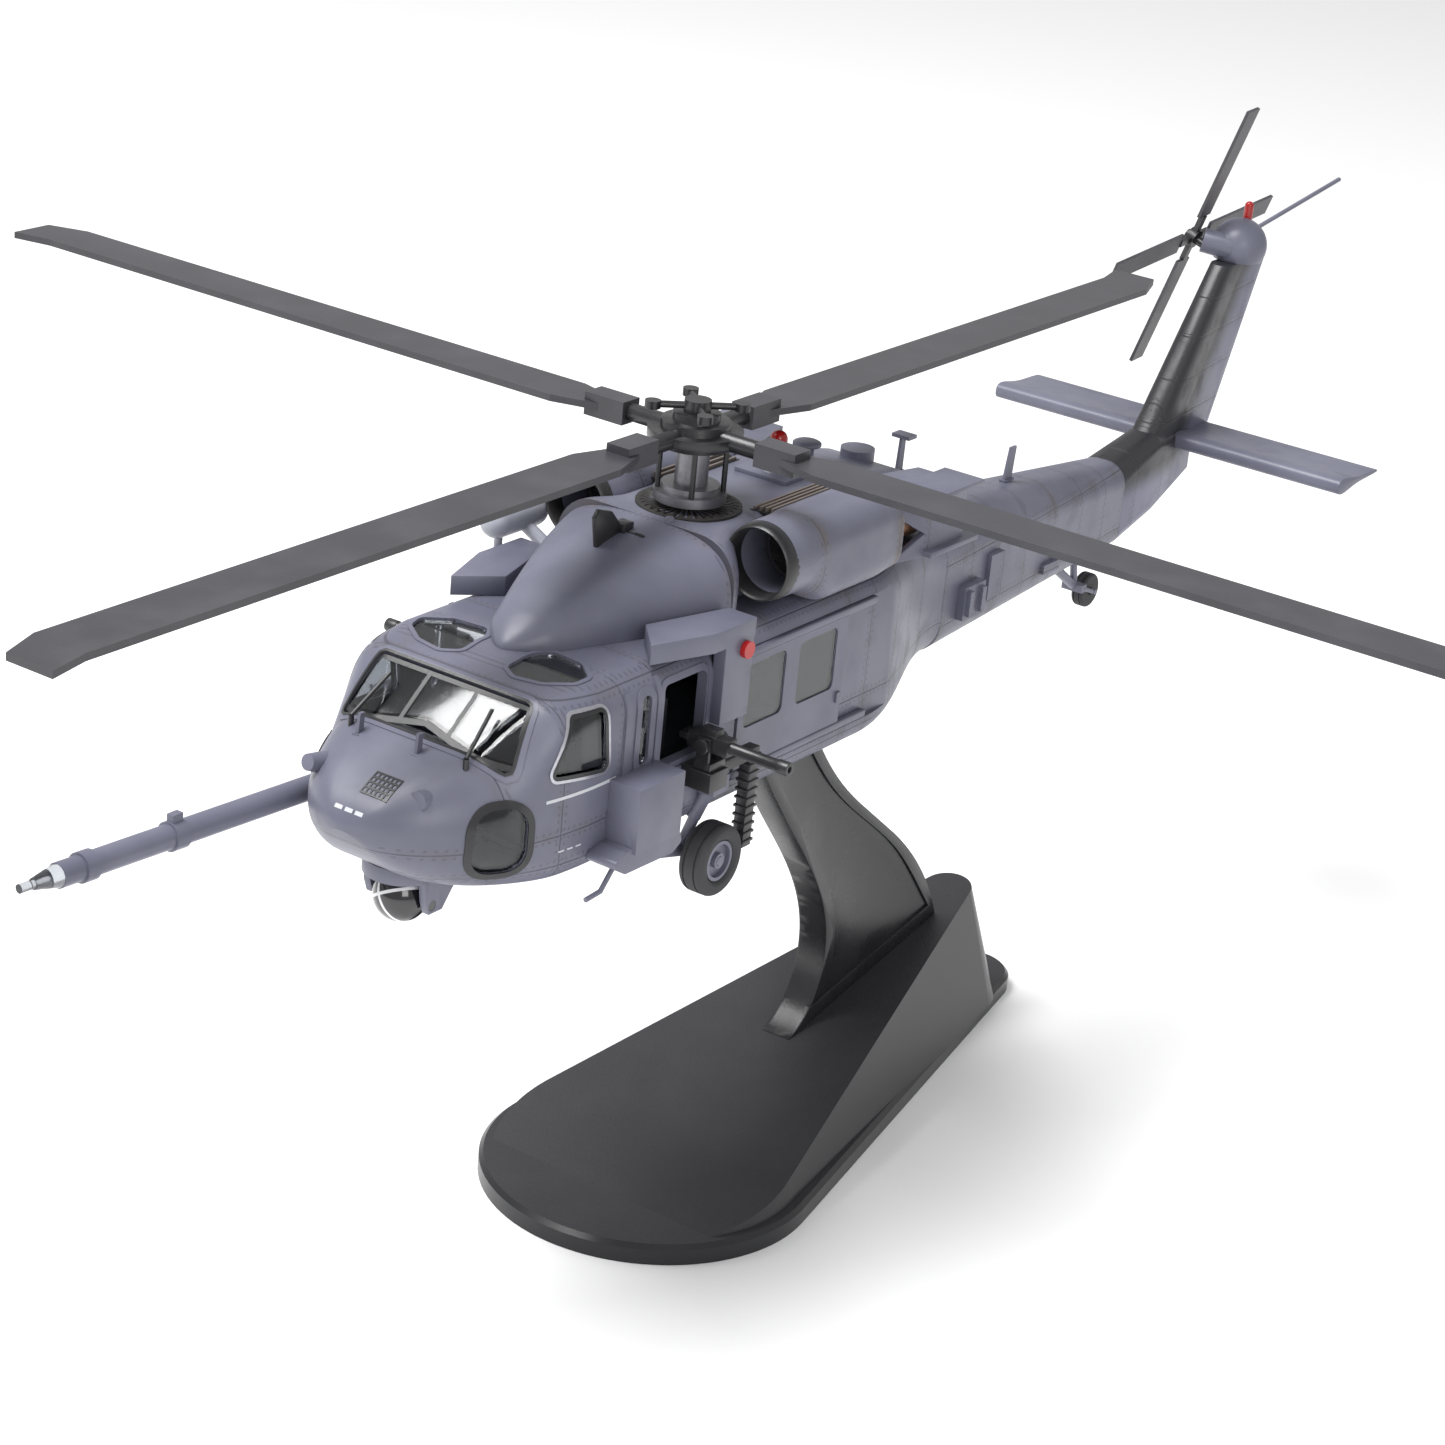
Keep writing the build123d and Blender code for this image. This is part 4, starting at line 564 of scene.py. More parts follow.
def wear_group() -> bpy.types.ShaderNodeTree:
    """Matt model paint: two tones clouded by noise, dark joints, brown stain near them and a fine grain.

    Returns:
        Group with Vector, Tone, Shade, Stain, Line, Rivet, Near and Dirt in; Color, Roughness
        and Height out.
    """
    tree = bpy.data.node_groups.new("paint_wear", "ShaderNodeTree")
    face = tree.interface
    face.new_socket("Vector", in_out="INPUT", socket_type="NodeSocketVector")
    for key in ("Tone", "Shade", "Stain"):
        face.new_socket(key, in_out="INPUT", socket_type="NodeSocketColor")
    for key in ("Line", "Rivet", "Near", "Dirt"):
        face.new_socket(key, in_out="INPUT", socket_type="NodeSocketFloat")
    face.new_socket("Color", in_out="OUTPUT", socket_type="NodeSocketColor")
    for key in ("Roughness", "Height"):
        face.new_socket(key, in_out="OUTPUT", socket_type="NodeSocketFloat")
    g = Graph(tree)
    given, result = g.ends()
    at = given.outputs["Vector"]
    cloud = g.ramp(g.noise(at, 70.0, 4.0), 0.35, 0.68)
    patch = g.ramp(g.noise(at, 240.0, 4.0), 0.45, 0.75)
    grain = g.noise(at, 3800.0, 2.0)
    colour = g.mix(cloud, given.outputs["Tone"], given.outputs["Shade"])
    beside = g.math("MULTIPLY", given.outputs["Near"], patch)
    dirt = g.math("MULTIPLY", beside, given.outputs["Dirt"], hold=True)
    colour = g.mix(dirt, colour, given.outputs["Stain"])
    dark = g.math("MAXIMUM", given.outputs["Line"], g.math("MULTIPLY", given.outputs["Rivet"], 0.45))
    colour = g.mix(g.math("MULTIPLY", dark, 0.72), colour, rgba((0.028, 0.026, 0.034)))
    g.give(result.inputs["Color"], colour)
    g.give(result.inputs["Roughness"], g.math("MULTIPLY_ADD", patch, 0.12, 0.40))
    height = g.math("MULTIPLY_ADD", grain, 0.12, g.math("MULTIPLY", given.outputs["Line"], -1.0))
    g.give(result.inputs["Height"], g.math("MULTIPLY_ADD", given.outputs["Rivet"], 0.5, height))
    return tree


# Colours of the finishes, as linear shares of red, green and blue.
GREY = (0.125, 0.127, 0.172)
GREY_SHADE = (0.096, 0.098, 0.136)
BLACK = (0.012, 0.012, 0.014)
BLACK_SHADE = (0.02, 0.02, 0.022)
STAIN = (0.10, 0.075, 0.05)
DECK_STAIN = (0.13, 0.10, 0.075)


@dataclass(frozen=True)
class Plating:
    """Where a painted skin has its joints."""

    name: str
    stations: tuple
    waterlines: tuple
    dirt: float = 0.35


class Skin(Enum):
    """The painted skins and their joints."""

    CABIN = Plating(
        "cabin_joints",
        (12.7, 20.2, 30.2, 36.8, 47.2, 53.4, 77.8, 84.0, 91.0, 98.5, 106.0),
        (8.6, 12.4, 28.0),
        0.3,
    )
    NOSE = Plating("nose_joints", (12.4,), (8.6,), 0.15)
    DECK = Plating("deck_joints", (54.6, 66.2, 84.2, 91.0), (), 0.8)
    BOOM = Plating(
        "boom_joints",
        (114.2, 122.0, 130.0, 139.0, 148.0, 157.0, 165.0, 171.8),
        (11.6, 20.4),
        0.45,
    )
    FIN = Plating("fin_joints", (176.0, 186.0), (24.5, 30.5, 36.5, 42.0), 0.2)
    PLAIN = Plating("plain_joints", (1000.0,), (), 0.0)


class Paints:
    """Every finish of the model, made once and handed out by name."""

    def __init__(self) -> None:
        """Make the shared groups."""
        self.wear = wear_group()
        self.plating: dict = {}
        self.made: dict = {}

    def joints(self, skin: Skin) -> bpy.types.ShaderNodeTree:
        """The joint group of one skin."""
        if skin not in self.plating:
            plan = skin.value
            self.plating[skin] = plating_group(plan.name, plan.stations, plan.waterlines)
        return self.plating[skin]

    def blank(self, name: str) -> tuple:
        """A new material with its graph, shader node and object coordinates."""
        material = bpy.data.materials.new(name)
        material.use_nodes = True
        g = Graph(material.node_tree)
        shader = material.node_tree.nodes["Principled BSDF"]
        where = g.node("TexCoord").outputs["Object"]
        self.made[name] = material
        return material, g, shader, where

    def bump(self, g: Graph, shader: bpy.types.Node, height: object, depth: float) -> None:
        """Drive a shader's normal from a height in units of the given depth in mm."""
        made = g.node("Bump")
        made.inputs["Strength"].default_value = 1.0
        made.inputs["Distance"].default_value = depth * MM
        g.give(made.inputs["Height"], height)
        g.give(shader.inputs["Normal"], made.outputs["Normal"])

    def paint(
        self,
        name: str,
        tone: tuple = GREY,
        shade: tuple = GREY_SHADE,
        skin: Skin = Skin.PLAIN,
        stain: tuple = STAIN,
    ) -> bpy.types.Material:
        """Satin model paint with joints, rivets and stains.

        Args:
            name: material name.
            tone: main colour.
            shade: second, clouded colour.
            skin: which joints it shows.
            stain: colour of the dirt along the joints.

        Returns:
            The material.
        """
        if name in self.made:
            return self.made[name]
        material, g, shader, where = self.blank(name)
        joints = g.node("Group", node_tree=self.joints(skin))
        g.give(joints.inputs["Vector"], where)
        wear = g.node("Group", node_tree=self.wear)
        g.give(wear.inputs["Vector"], where)
        g.give(wear.inputs["Tone"], rgba(tone))
        g.give(wear.inputs["Shade"], rgba(shade))
        g.give(wear.inputs["Stain"], rgba(stain))
        wear.inputs["Dirt"].default_value = skin.value.dirt
        for key in ("Line", "Rivet", "Near"):
            g.give(wear.inputs[key], joints.outputs[key])
        g.give(shader.inputs["Base Color"], wear.outputs["Color"])
        g.give(shader.inputs["Roughness"], wear.outputs["Roughness"])
        self.bump(g, shader, wear.outputs["Height"], 0.05)
        return material

    def grey(self) -> bpy.types.Material:
        """Grey paint of the small fittings, without joints."""
        return self.paint("frame_grey")

    def deck(self) -> bpy.types.Material:
        """Grey paint of the upper deck, stained brown along its joints."""
        return self.paint("deck_grey", skin=Skin.DECK, stain=DECK_STAIN)

    def trim(self) -> bpy.types.Material:
        """Black moulded trim."""
        return self.plastic("black_trim", BLACK, BLACK_SHADE, 0.35)

    def plastic(
        self,
        name: str,
        tone: tuple,
        shade: tuple,
        rough: float,
        grain: float = 0.02,
    ) -> bpy.types.Material:
        """Moulded plastic with faint clouding, a fine grain and uneven gloss.

        Args:
            name: material name.
            tone: main colour.
            shade: clouded colour.
            rough: mean roughness.
            grain: depth of the grain in mm.

        Returns:
            The material.
        """
        if name in self.made:
            return self.made[name]
        material, g, shader, where = self.blank(name)
        cloud = g.ramp(g.noise(where, 120.0, 4.0), 0.35, 0.7)
        fine = g.noise(where, 2500.0, 2.0)
        g.give(shader.inputs["Base Color"], g.mix(cloud, rgba(tone), rgba(shade)))
        g.give(shader.inputs["Roughness"], g.math("MULTIPLY_ADD", cloud, 0.1, rough - 0.05))
        self.bump(g, shader, fine, grain)
        return material

    def metal(self, name: str, tone: tuple, rough: float) -> bpy.types.Material:
        """Bare metal with a brushed grain."""
        if name in self.made:
            return self.made[name]
        material, g, shader, where = self.blank(name)
        fine = g.noise(where, 1800.0, 3.0)
        shader.inputs["Metallic"].default_value = 1.0
        g.give(shader.inputs["Base Color"], g.mix(fine, rgba(tone), rgba(tuple(0.7 * c for c in tone))))
        g.give(shader.inputs["Roughness"], g.math("MULTIPLY_ADD", fine, 0.2, rough))
        self.bump(g, shader, fine, 0.01)
        return material

    def clear(self, name: str, tone: tuple, rough: float = 0.03) -> bpy.types.Material:
        """Clear moulded plastic with slight smears."""
        if name in self.made:
            return self.made[name]
        material, g, shader, where = self.blank(name)
        shader.inputs["Base Color"].default_value = rgba(tone)
        shader.inputs["Transmission Weight"].default_value = 1.0
        shader.inputs["IOR"].default_value = 1.48
        smears = g.ramp(g.noise(where, 420.0), 0.5, 0.8)
        g.give(shader.inputs["Roughness"], g.math("MULTIPLY_ADD", smears, 0.05, rough))
        return material

    def sensor(self) -> bpy.types.Material:
        """Glossy black ball with two thin crossed light lines."""
        if "sensor_ball" in self.made:
            return self.made["sensor_ball"]
        material, g, shader, where = self.blank("sensor_ball")
        apart = g.node("SeparateXYZ")
        turned = g.node("Mapping", vector_type="POINT")
        centre = row(0.0, 11.4, 2.4)
        turned.inputs["Location"].default_value = tuple(-centre)
        g.give(turned.inputs["Vector"], where)
        spun = g.node("VectorRotate", rotation_type="EULER_XYZ")
        spun.inputs["Rotation"].default_value = (0.35, 0.5, 0.25)
        g.give(spun.inputs["Vector"], turned.outputs[0])
        g.give(apart.inputs[0], spun.outputs[0])
        from_x, from_z = (g.math("ABSOLUTE", apart.outputs[axis]) for axis in ("X", "Z"))
        gap = g.math("MINIMUM", from_x, from_z)
        line = g.math("SUBTRACT", 1.0, g.ramp(gap, 0.00016, 0.00022))
        smear = g.noise(where, 500.0)
        tone = g.mix(line, rgba((0.008, 0.008, 0.010)), rgba((0.72, 0.72, 0.74)))
        g.give(shader.inputs["Base Color"], tone)
        g.give(shader.inputs["Roughness"], g.math("MULTIPLY_ADD", smear, 0.1, 0.08))
        shader.inputs["Coat Weight"].default_value = 0.6
        return material

    def fin(self) -> bpy.types.Material:
        """Fin paint that goes from black at the leading side to grey at the trailing side."""
        if "fin_paint" in self.made:
            return self.made["fin_paint"]
        material = self.paint("fin_paint", (0.150, 0.150, 0.215), (0.125, 0.125, 0.180), Skin.FIN)
        g = Graph(material.node_tree)
        shader = material.node_tree.nodes["Principled BSDF"]
        painted = shader.inputs["Base Color"].links[0].from_socket
        where = g.node("TexCoord").outputs["Object"]
        apart = g.node("SeparateXYZ")
        g.give(apart.inputs[0], where)
        s = g.math("MULTIPLY_ADD", apart.outputs["Y"], 1000.0, -NOSE_Y)
        w = g.math("MULTIPLY_ADD", apart.outputs["Z"], 1000.0, -WHEEL_Z)
        behind = g.math("SUBTRACT", s, g.math("MULTIPLY_ADD", w, 0.62, 177.5))
        uneven = g.math("MULTIPLY_ADD", g.noise(where, 160.0), 2.4, -1.2)
        share = g.ramp(g.math("ADD", behind, uneven), 1.0, 8.5)
        low = g.ramp(w, 15.0, 19.0)
        dark = g.math("MULTIPLY", g.math("SUBTRACT", 1.0, share), low)
        g.give(shader.inputs["Base Color"], g.mix(dark, painted, rgba((0.016, 0.016, 0.020))))
        return material

    def base_top(self) -> bpy.types.Material:
        """Stand plastic: satin black, with a coarse spark-eroded grain on faces that look up; those faces are
        also painted lighter, partly painted light from above and partly dust.
        """
        if "stand_satin" in self.made:
            return self.made["stand_satin"]
        material, g, shader, where = self.blank("stand_satin")
        facing = g.node("NewGeometry").outputs["Normal"]
        apart = g.node("SeparateXYZ")
        g.give(apart.inputs[0], facing)
        level = g.ramp(apart.outputs["Z"], 0.90, 0.97)
        grain = g.noise(where, 2600.0, 3.0)
        dust = g.ramp(g.noise(where, 60.0, 5.0), 0.4, 0.75)
        # faces that look up are painted lighter: painted light from above, clouded by dust noise
        top_light_and_dust = g.math("MULTIPLY", level, g.math("MULTIPLY_ADD", dust, 0.4, 0.6))
        tone = g.mix(top_light_and_dust, rgba((0.010, 0.010, 0.012)), rgba((0.030, 0.030, 0.034)))
        g.give(shader.inputs["Base Color"], tone)
        g.give(shader.inputs["Roughness"], g.math("MULTIPLY_ADD", level, 0.22, 0.30))
        self.bump(g, shader, g.math("MULTIPLY", grain, level), 0.06)
        return material


# --------------------------------------------------------------- the fuselage
@dataclass
class HullLines:
    """Half width, top, belly and corner radii of the fuselage at any station."""

    cabin_half: float = 16.4
    cabin_front: float = 27.0
    cabin_end: float = 84.0
    boom_start: float = 114.0
    boom_half: float = 8.6
    screen_foot: float = 12.7

    def rear(self, s: np.ndarray) -> np.ndarray:
        """Share of the way from cabin to boom, eased at both ends."""
        return ease((s - self.cabin_end) / (self.boom_start - self.cabin_end))

    def half(self, s: np.ndarray) -> np.ndarray:
        """Half width: an ellipse up to the cabin, then an eased taper."""
        ahead = 1 - np.minimum(s, self.cabin_front) / self.cabin_front
        front = self.cabin_half * np.sqrt(np.clip(1 - ahead**2, 0, 1))
        return front + (self.boom_half - self.cabin_half) * self.rear(s)

    def top(self, s: np.ndarray) -> np.ndarray:
        """Top line: a power curve over the nose, then the straight screen and roof, then the taper."""
        nose = 14.0 + 8.3 * (np.clip(s, 0, None) / self.screen_foot) ** 0.45
        above = np.interp(s, [12.7, 19.5, 27.0], [22.3, 27.9, 29.0])
        return np.where(s < self.screen_foot, nose, above) - 2.0 * self.rear(s)

    def low(self, s: np.ndarray) -> np.ndarray:
        """Belly line: a fourth-power curve under the nose, then level, then a small rise."""
        return 14.0 - 8.0 * (1 - np.clip(1 - s / 20.0, 0, 1) ** 4) + self.rear(s)

    def rings(self, s: np.ndarray, inset: float = 0.0) -> np.ndarray:
        """Outlines of the skin, or of a surface inside it."""
        half, low, high = self.half(s) - inset, self.low(s) + inset, self.top(s) - inset
        limit = 0.47 * np.minimum(2 * half, high - low)
        upper = 8.0 - 3.8 * ease((s - 12.7) / 10) - inset + 2.6 * self.rear(s)
        lower = 6.5 - 3.5 * ease((s - 8) / 14) - inset + 2.0 * self.rear(s)
        return box_rings(-half, half, low, high, np.minimum(lower, limit), np.minimum(upper, limit))


# Openings as corner points: the windscreen on its slope, the chin window on its own plane, the
# roof window in side offsets and stations, the rest in stations and waterlines.
SCREEN = [(-12.6, -0.2), (12.6, -0.2), (11.2, 8.3), (-11.2, 8.3)]
ROOF_GLASS = [
    (3.4, 24.0),
    (5.6, 22.7),
    (9.2, 23.3),
    (12.3, 25.4),
    (12.6, 27.6),
    (9.6, 30.3),
    (5.0, 30.9),
    (3.6, 28.6),
]
COCKPIT_GLASS = [(17.5, 19.7), (27.8, 18.5), (26.6, 26.8), (21.3, 26.8)]
HATCH_GLASS = [(33.5, 17.2), (35.3, 17.2), (35.3, 26.0), (33.5, 26.0)]
GUNNER_GAP = [(37.8, 15.8), (46.4, 15.8), (46.4, 26.2), (37.8, 26.2)]
DOOR_GAP = [(55.6, 12.2), (75.6, 12.2), (75.6, 24.2), (55.6, 24.2)]
CHIN = [(-3.6, -4.0), (3.6, -4.0), (3.6, 4.0), (-3.6, 4.0)]

# Corner radii of the same openings.
SCREEN_R = 0.8
ROOF_R = 1.2
COCKPIT_R = 1.0
HATCH_R = 0.8
GUNNER_R = 0.9
DOOR_R = 1.2
CHIN_R = 2.8
SIDE_GAPS = ((COCKPIT_GLASS, COCKPIT_R), (HATCH_GLASS, HATCH_R), (GUNNER_GAP, GUNNER_R), (DOOR_GAP, DOOR_R))


@dataclass
class Fuselage:
    """The cabin skin with its openings, window frames and small surface fittings."""

    paints: Paints
    lines: HullLines = field(default_factory=HullLines)
    skin_thick: float = 1.3
    recess_half: float = 15.7
    solid: bpy.types.Object = None

    def outer(self) -> bpy.types.Mesh:
        """Closed outer surface, its rows crowded towards the nose."""
        t = np.linspace(0, 1, 60)
        cabin = np.linspace(27.0, 84.0, 40)
        taper = np.linspace(84.0, 114.0, 34)
        breaks = [0.004, 12.7, 19.5]
        s = np.unique(np.concatenate([27.0 * t[1:] ** 2.2, cabin[1:], taper[1:], breaks]))
        return lofted(s, self.lines.rings(s), "hull_outer")

    def inner(self) -> bpy.types.Mesh:
        """Closed inner surface, one skin thickness in."""
        s = np.concatenate([np.linspace(3.2, 27.0, 24), np.linspace(27.0, 112.5, 30)[1:]])
        return lofted(s, self.lines.rings(s, self.skin_thick), "hull_inner")

    def recesses(self) -> bpy.types.Mesh:
        """Tool for the two door recesses and the belly slot that takes the stand's arm."""
        tool = Shell()
        for side in (-1, 1):
            tool.block((side * self.recess_half, side * 21.0), (53.4, 92.0), (9.4, 26.4))
        tool.block((-1.55, 1.55), (79.45, 88.55), (4.0, 9.0))
        return tool.mesh("recess_tool")

    def windows(self) -> bpy.types.Mesh:
        """Tool for every window and opening."""
        tool = Shell()
        prism(tool, SLOPE, rounded(SCREEN, SCREEN_R), -6.0, 3.0)
        for side in (-1, 1):
            across = [(side * x, s) for x, s in ROOF_GLASS]
            prism(tool, TOP, rounded(across, ROOF_R), 22.0, 33.0)
            prism(tool, chin_facing(side), rounded(CHIN, CHIN_R), -5.0, 5.0)
            for outline, corner in SIDE_GAPS:
                prism(tool, side_facing(side), rounded(outline, corner), 8.0, 20.0)
        return tool.mesh("window_tool")

    def frames(self) -> None:
        """Raised rims: grey round the cabin openings and roof windows, black and grey round the
        screen, black at the chin, bright round the cockpit window."""
        grey, black, bright = [], [], []
        for side in (-1, 1):
            here = side_facing(side)
            for outline, corner, out, into in (
                (HATCH_GLASS, HATCH_R, 1.0, grey),
                (GUNNER_GAP, GUNNER_R, 0.75, grey),
                (COCKPIT_GLASS, COCKPIT_R, 0.34, bright),
            ):
                into.append(self.rim(here, rounded(outline, corner), -0.02, out, 0.16))
            black.append(self.rim(here, rounded(COCKPIT_GLASS, COCKPIT_R), -0.5, -0.02, 0.1))
            black.append(self.rim(chin_facing(side), rounded(CHIN, CHIN_R), -0.02, 0.9, 0.16))
            across = rounded([(side * x, s) for x, s in ROOF_GLASS], ROOF_R)
            grey.append(self.rim(TOP, across, -0.02, 0.55, 0.14))
        screen = rounded(SCREEN, SCREEN_R)
        grey.append(self.rim(SLOPE, screen, 0.3, 1.0, 0.12))
        black.append(self.rim(SLOPE, screen, -0.02, 0.35, 0.18))
        trim = self.paints.trim()
        paint = self.paints.grey()
        seal = self.paints.metal("window_seal", (0.55, 0.55, 0.60), 0.25)
        piece("window_frames_grey", joined(grey, "frames"), paint, "helicopter")
        piece("window_frames_black", joined(black, "frames"), trim, "helicopter")
        piece("window_seals", joined(bright, "frames"), seal, "helicopter")

    def rim(
        self,
        facing: Facing,
        outline: np.ndarray,
        inside: float,
        outside: float,
        thick: float,
    ) -> bpy.types.Mesh:
        """Flat ring round an outline, laid on the skin."""
        even = evenly(outline, 96)
        shares = np.linspace(outside, inside, 4)[:, None, None]
        flat = even[None] + shares * (widened(even, 1.0) - even)[None]
        return drape("rim", facing, flat, True, self.solid, thick)

    def plate(self, facing: Facing, u: tuple, v: tuple, thick: float, cells: int = 14) -> bpy.types.Mesh:
        """Flat rectangular plate laid on the skin."""
        a, b = np.meshgrid(np.linspace(*u, cells), np.linspace(*v, cells))
        return drape("plate", facing, np.stack([a, b], -1), False, self.solid, thick)

    def marks(self) -> None:
        """Small surface details: nose grid, hatch panels, plain light dashes and a narrow stripe."""
        dark, grey, pale = [], [], []
        bar = 0.2
        # lattice on the nose: bars along, then bars across
        for n in range(7):
            x = 0.2 + 0.62 * n
            dark.append(self.plate(TOP, (x, x + bar), (2.6, 5.6), 0.1, 6))
        for n in range(5):
            s = 2.6 + 0.7 * n
            dark.append(self.plate(TOP, (0.2, 4.1), (s, s + bar), 0.1, 6))
        for side in (-1, 1):
            here = side_facing(side)
            grey.append(self.plate(here, (30.4, 36.6), (14.6, 16.2), 0.12))
            grey.append(self.plate(here, (30.4, 31.6), (16.2, 27.0), 0.22))
            grey.append(self.plate(here, (36.4, 37.2), (14.6, 27.6), 0.3))
            grey.append(self.plate(here, (46.6, 47.4), (14.6, 27.6), 0.3))
            grey.append(self.plate(here, (36.8, 47.2), (14.2, 15.0), 0.45))
            # plain narrow stripe below the cockpit window, and three dashes lower down
            pale.append(self.plate(here, (17.6, 29.4), (16.9, 17.3), 0.03, 20))
            for n in range(3):
                pale.append(self.plate(here, (20.0 + 1.4 * n, 20.9 + 1.4 * n), (10.2, 10.4), 0.03, 4))
        for n in range(3):
            pale.append(self.plate(FRONT, (-1.8 + 1.5 * n, -0.7 + 1.5 * n), (16.2, 16.6), 0.03, 5))
        trim = self.paints.trim()
        paint = self.paints.grey()
        light = self.paints.plastic("mark_light", (0.52, 0.53, 0.56), (0.45, 0.46, 0.50), 0.5)
        piece("nose_grid", joined(dark, "grid"), trim, "helicopter")
        piece("cabin_posts", joined(grey, "posts"), paint, "helicopter")
        piece("plain_marks", joined(pale, "marks"), light, "helicopter")

    def build(self) -> None:
        """Make the skin, cut it, dress it and lay the fittings on it."""
        self.solid = show("hull_solid", self.outer())
        skin = show("fuselage_skin", self.outer())
        carve(skin, self.inner())
        carve(skin, self.recesses())
        carve(skin, self.windows())
        mesh = skin.data
        bpy.data.objects.remove(skin)
        paint = self.paints.paint("cabin_grey", skin=Skin.CABIN)
        halves = ("fuselage_port", "fuselage_starboard")
        piece("fuselage_skin", mesh, paint, "helicopter", halves, sharp=30)
        self.frames()
        self.marks()
        bpy.data.objects.remove(self.solid)


# -------------------------------------------------------------- the upper deck
@dataclass
class UpperDeck:
    """Front fairing, rotor deck, engine cowls and intake lips."""

    paints: Paints
    roof: float = 29.02
    front: float = 27.0
    split: float = 54.6
    deck: float = 38.7
    mast: float = 63.2
    intake_side: float = 14.0
    intake_high: float = 36.0

    def dome_rings(self, half: np.ndarray, high: np.ndarray, power: np.ndarray) -> np.ndarray:
        """Arched outlines: half width times the cosine and height times the sine of a half turn,
        each raised to two over the power, so a higher power is squarer."""
        turn = np.linspace(0, math.pi, 72)[None]
        c, d = np.cos(turn), np.sin(turn)
        share = 2.0 / power[:, None]
        x = half[:, None] * np.sign(c) * np.abs(c) ** share
        w = self.roof + (high - self.roof)[:, None] * d**share
        return np.stack([x, w], -1)

    def front_fairing(self) -> None:
        """Long dome rising from the roof to the rotor deck."""
        s = self.front + (self.split - self.front) * np.linspace(0, 1, 70) ** 1.4
        t = (s - self.front) / (self.split - self.front)
        start = np.sqrt(np.clip(t / 0.16, 0.0004, 1.0) * (2 - np.clip(t / 0.16, 0, 1)))
        half = (2.4 + 11.2 * t**0.8) * start
        high = self.roof + 0.02 + (1.9 + 8.05 * np.sin(t * math.pi / 2) ** 1.05) * start
        rings = self.dome_rings(half, high, 2.15 + 1.1 * t)
        mesh = lofted(s, rings, "front_fairing")
        paint = self.paints.deck()
        piece("front_fairing", mesh, paint, "helicopter", ("deck_fairing",))
        cutter = Shell()
        blade = np.array([(44.4, 36.6), (49.6, 38.6), (46.8, 41.6), (44.2, 42.4), (43.4, 41.4)])
        prism(cutter, side_facing(1), blade, -0.3, 0.3)
        cutter.rod((-3.4, 49.4, 38.6), (3.4, 49.4, 38.6), (0.22, 0.22))
        cutter.block((-0.9, 0.9), (48.6, 50.6), (38.0, 39.6))
        black = self.paints.trim()
        piece("cable_cutter", cutter.mesh("cutter"), black, "helicopter", edge=0.08)

    def rotor_deck(self) -> None:
        """Flat-topped body between the cowls, waisted behind the seam to clear the intakes."""
        s = np.concatenate([np.linspace(self.split, 62.0, 26), np.linspace(62.0, 91.0, 16)[1:]])
        waist = ease((s - self.split - 0.4) / 6.4)
        half = 13.6 - 4.6 * waist
        high = 39.0 - 0.3 * ease((s - self.split) / 5.0)
        low = np.full_like(s, self.roof)
        rings = box_rings(-half, half, low, high, np.full_like(s, 0.3), 5.6 - 3.6 * waist)
        paint = self.paints.deck()
        piece("pylon_deck", lofted(s, rings, "deck"), paint, "helicopter", ("rotor_deck",))
        fit = Shell()
        fit.block((-4.0, 4.0), (78.6, 86.0), (self.deck - 0.1, self.deck + 0.6))
        fit.rod((0, 82.2, self.deck + 0.5), (0, 82.2, self.deck + 2.2), (2.4, 1.9, 1.8), (0, 0.25, 1), 40)
        foot, head = (0, 89.0, self.deck - 0.1), (0, 89.0, self.deck + 2.9)
        fit.rod(foot, head, (1.3, 1.0, 1.0, 1.9, 1.9, 1.5), (0, 0.1, 0.72, 0.8, 0.93, 1), 40)
        fit.rod((2.6, 55.6, 38.8), (2.6, 55.6, 39.5), (0.7, 0.5), (0, 1), 20)
        piece("deck_fittings", fit.mesh("fittings"), paint, "helicopter", edge=0.08)
        self.mast_well()

    def mast_well(self) -> None:
        """Toothed black ring sunk round the mast."""
        around, teeth = 192, 32
        turn = np.arange(around) * 2 * math.pi / around
        tooth = 0.5 + 0.5 * np.sign(np.sin(turn * teeth))
        rim = np.full(around, 6.7)
        radii = np.stack([rim, rim, 6.3 - 0.5 * tooth, 5.2 - 0.3 * tooth, np.full(around, 0.2)])
        level = np.array([0.0, 0.34, 0.42, 0.05, 0.02])[:, None]
        toothed = np.array([0, 0, 1, 1, 0])[:, None]
        rise = level + 0.16 * tooth[None] * toothed
        flat_x, flat_s = radii * np.cos(turn), self.mast + radii * np.sin(turn)
        well = Shell().grid(row(flat_x, flat_s, self.deck - 0.05 + rise), around=True, caps=True)
        black = self.paints.plastic("well_black", (0.010, 0.009, 0.009), (0.022, 0.018, 0.015), 0.55)
        piece("mast_well", well.mesh("well"), black, "helicopter")

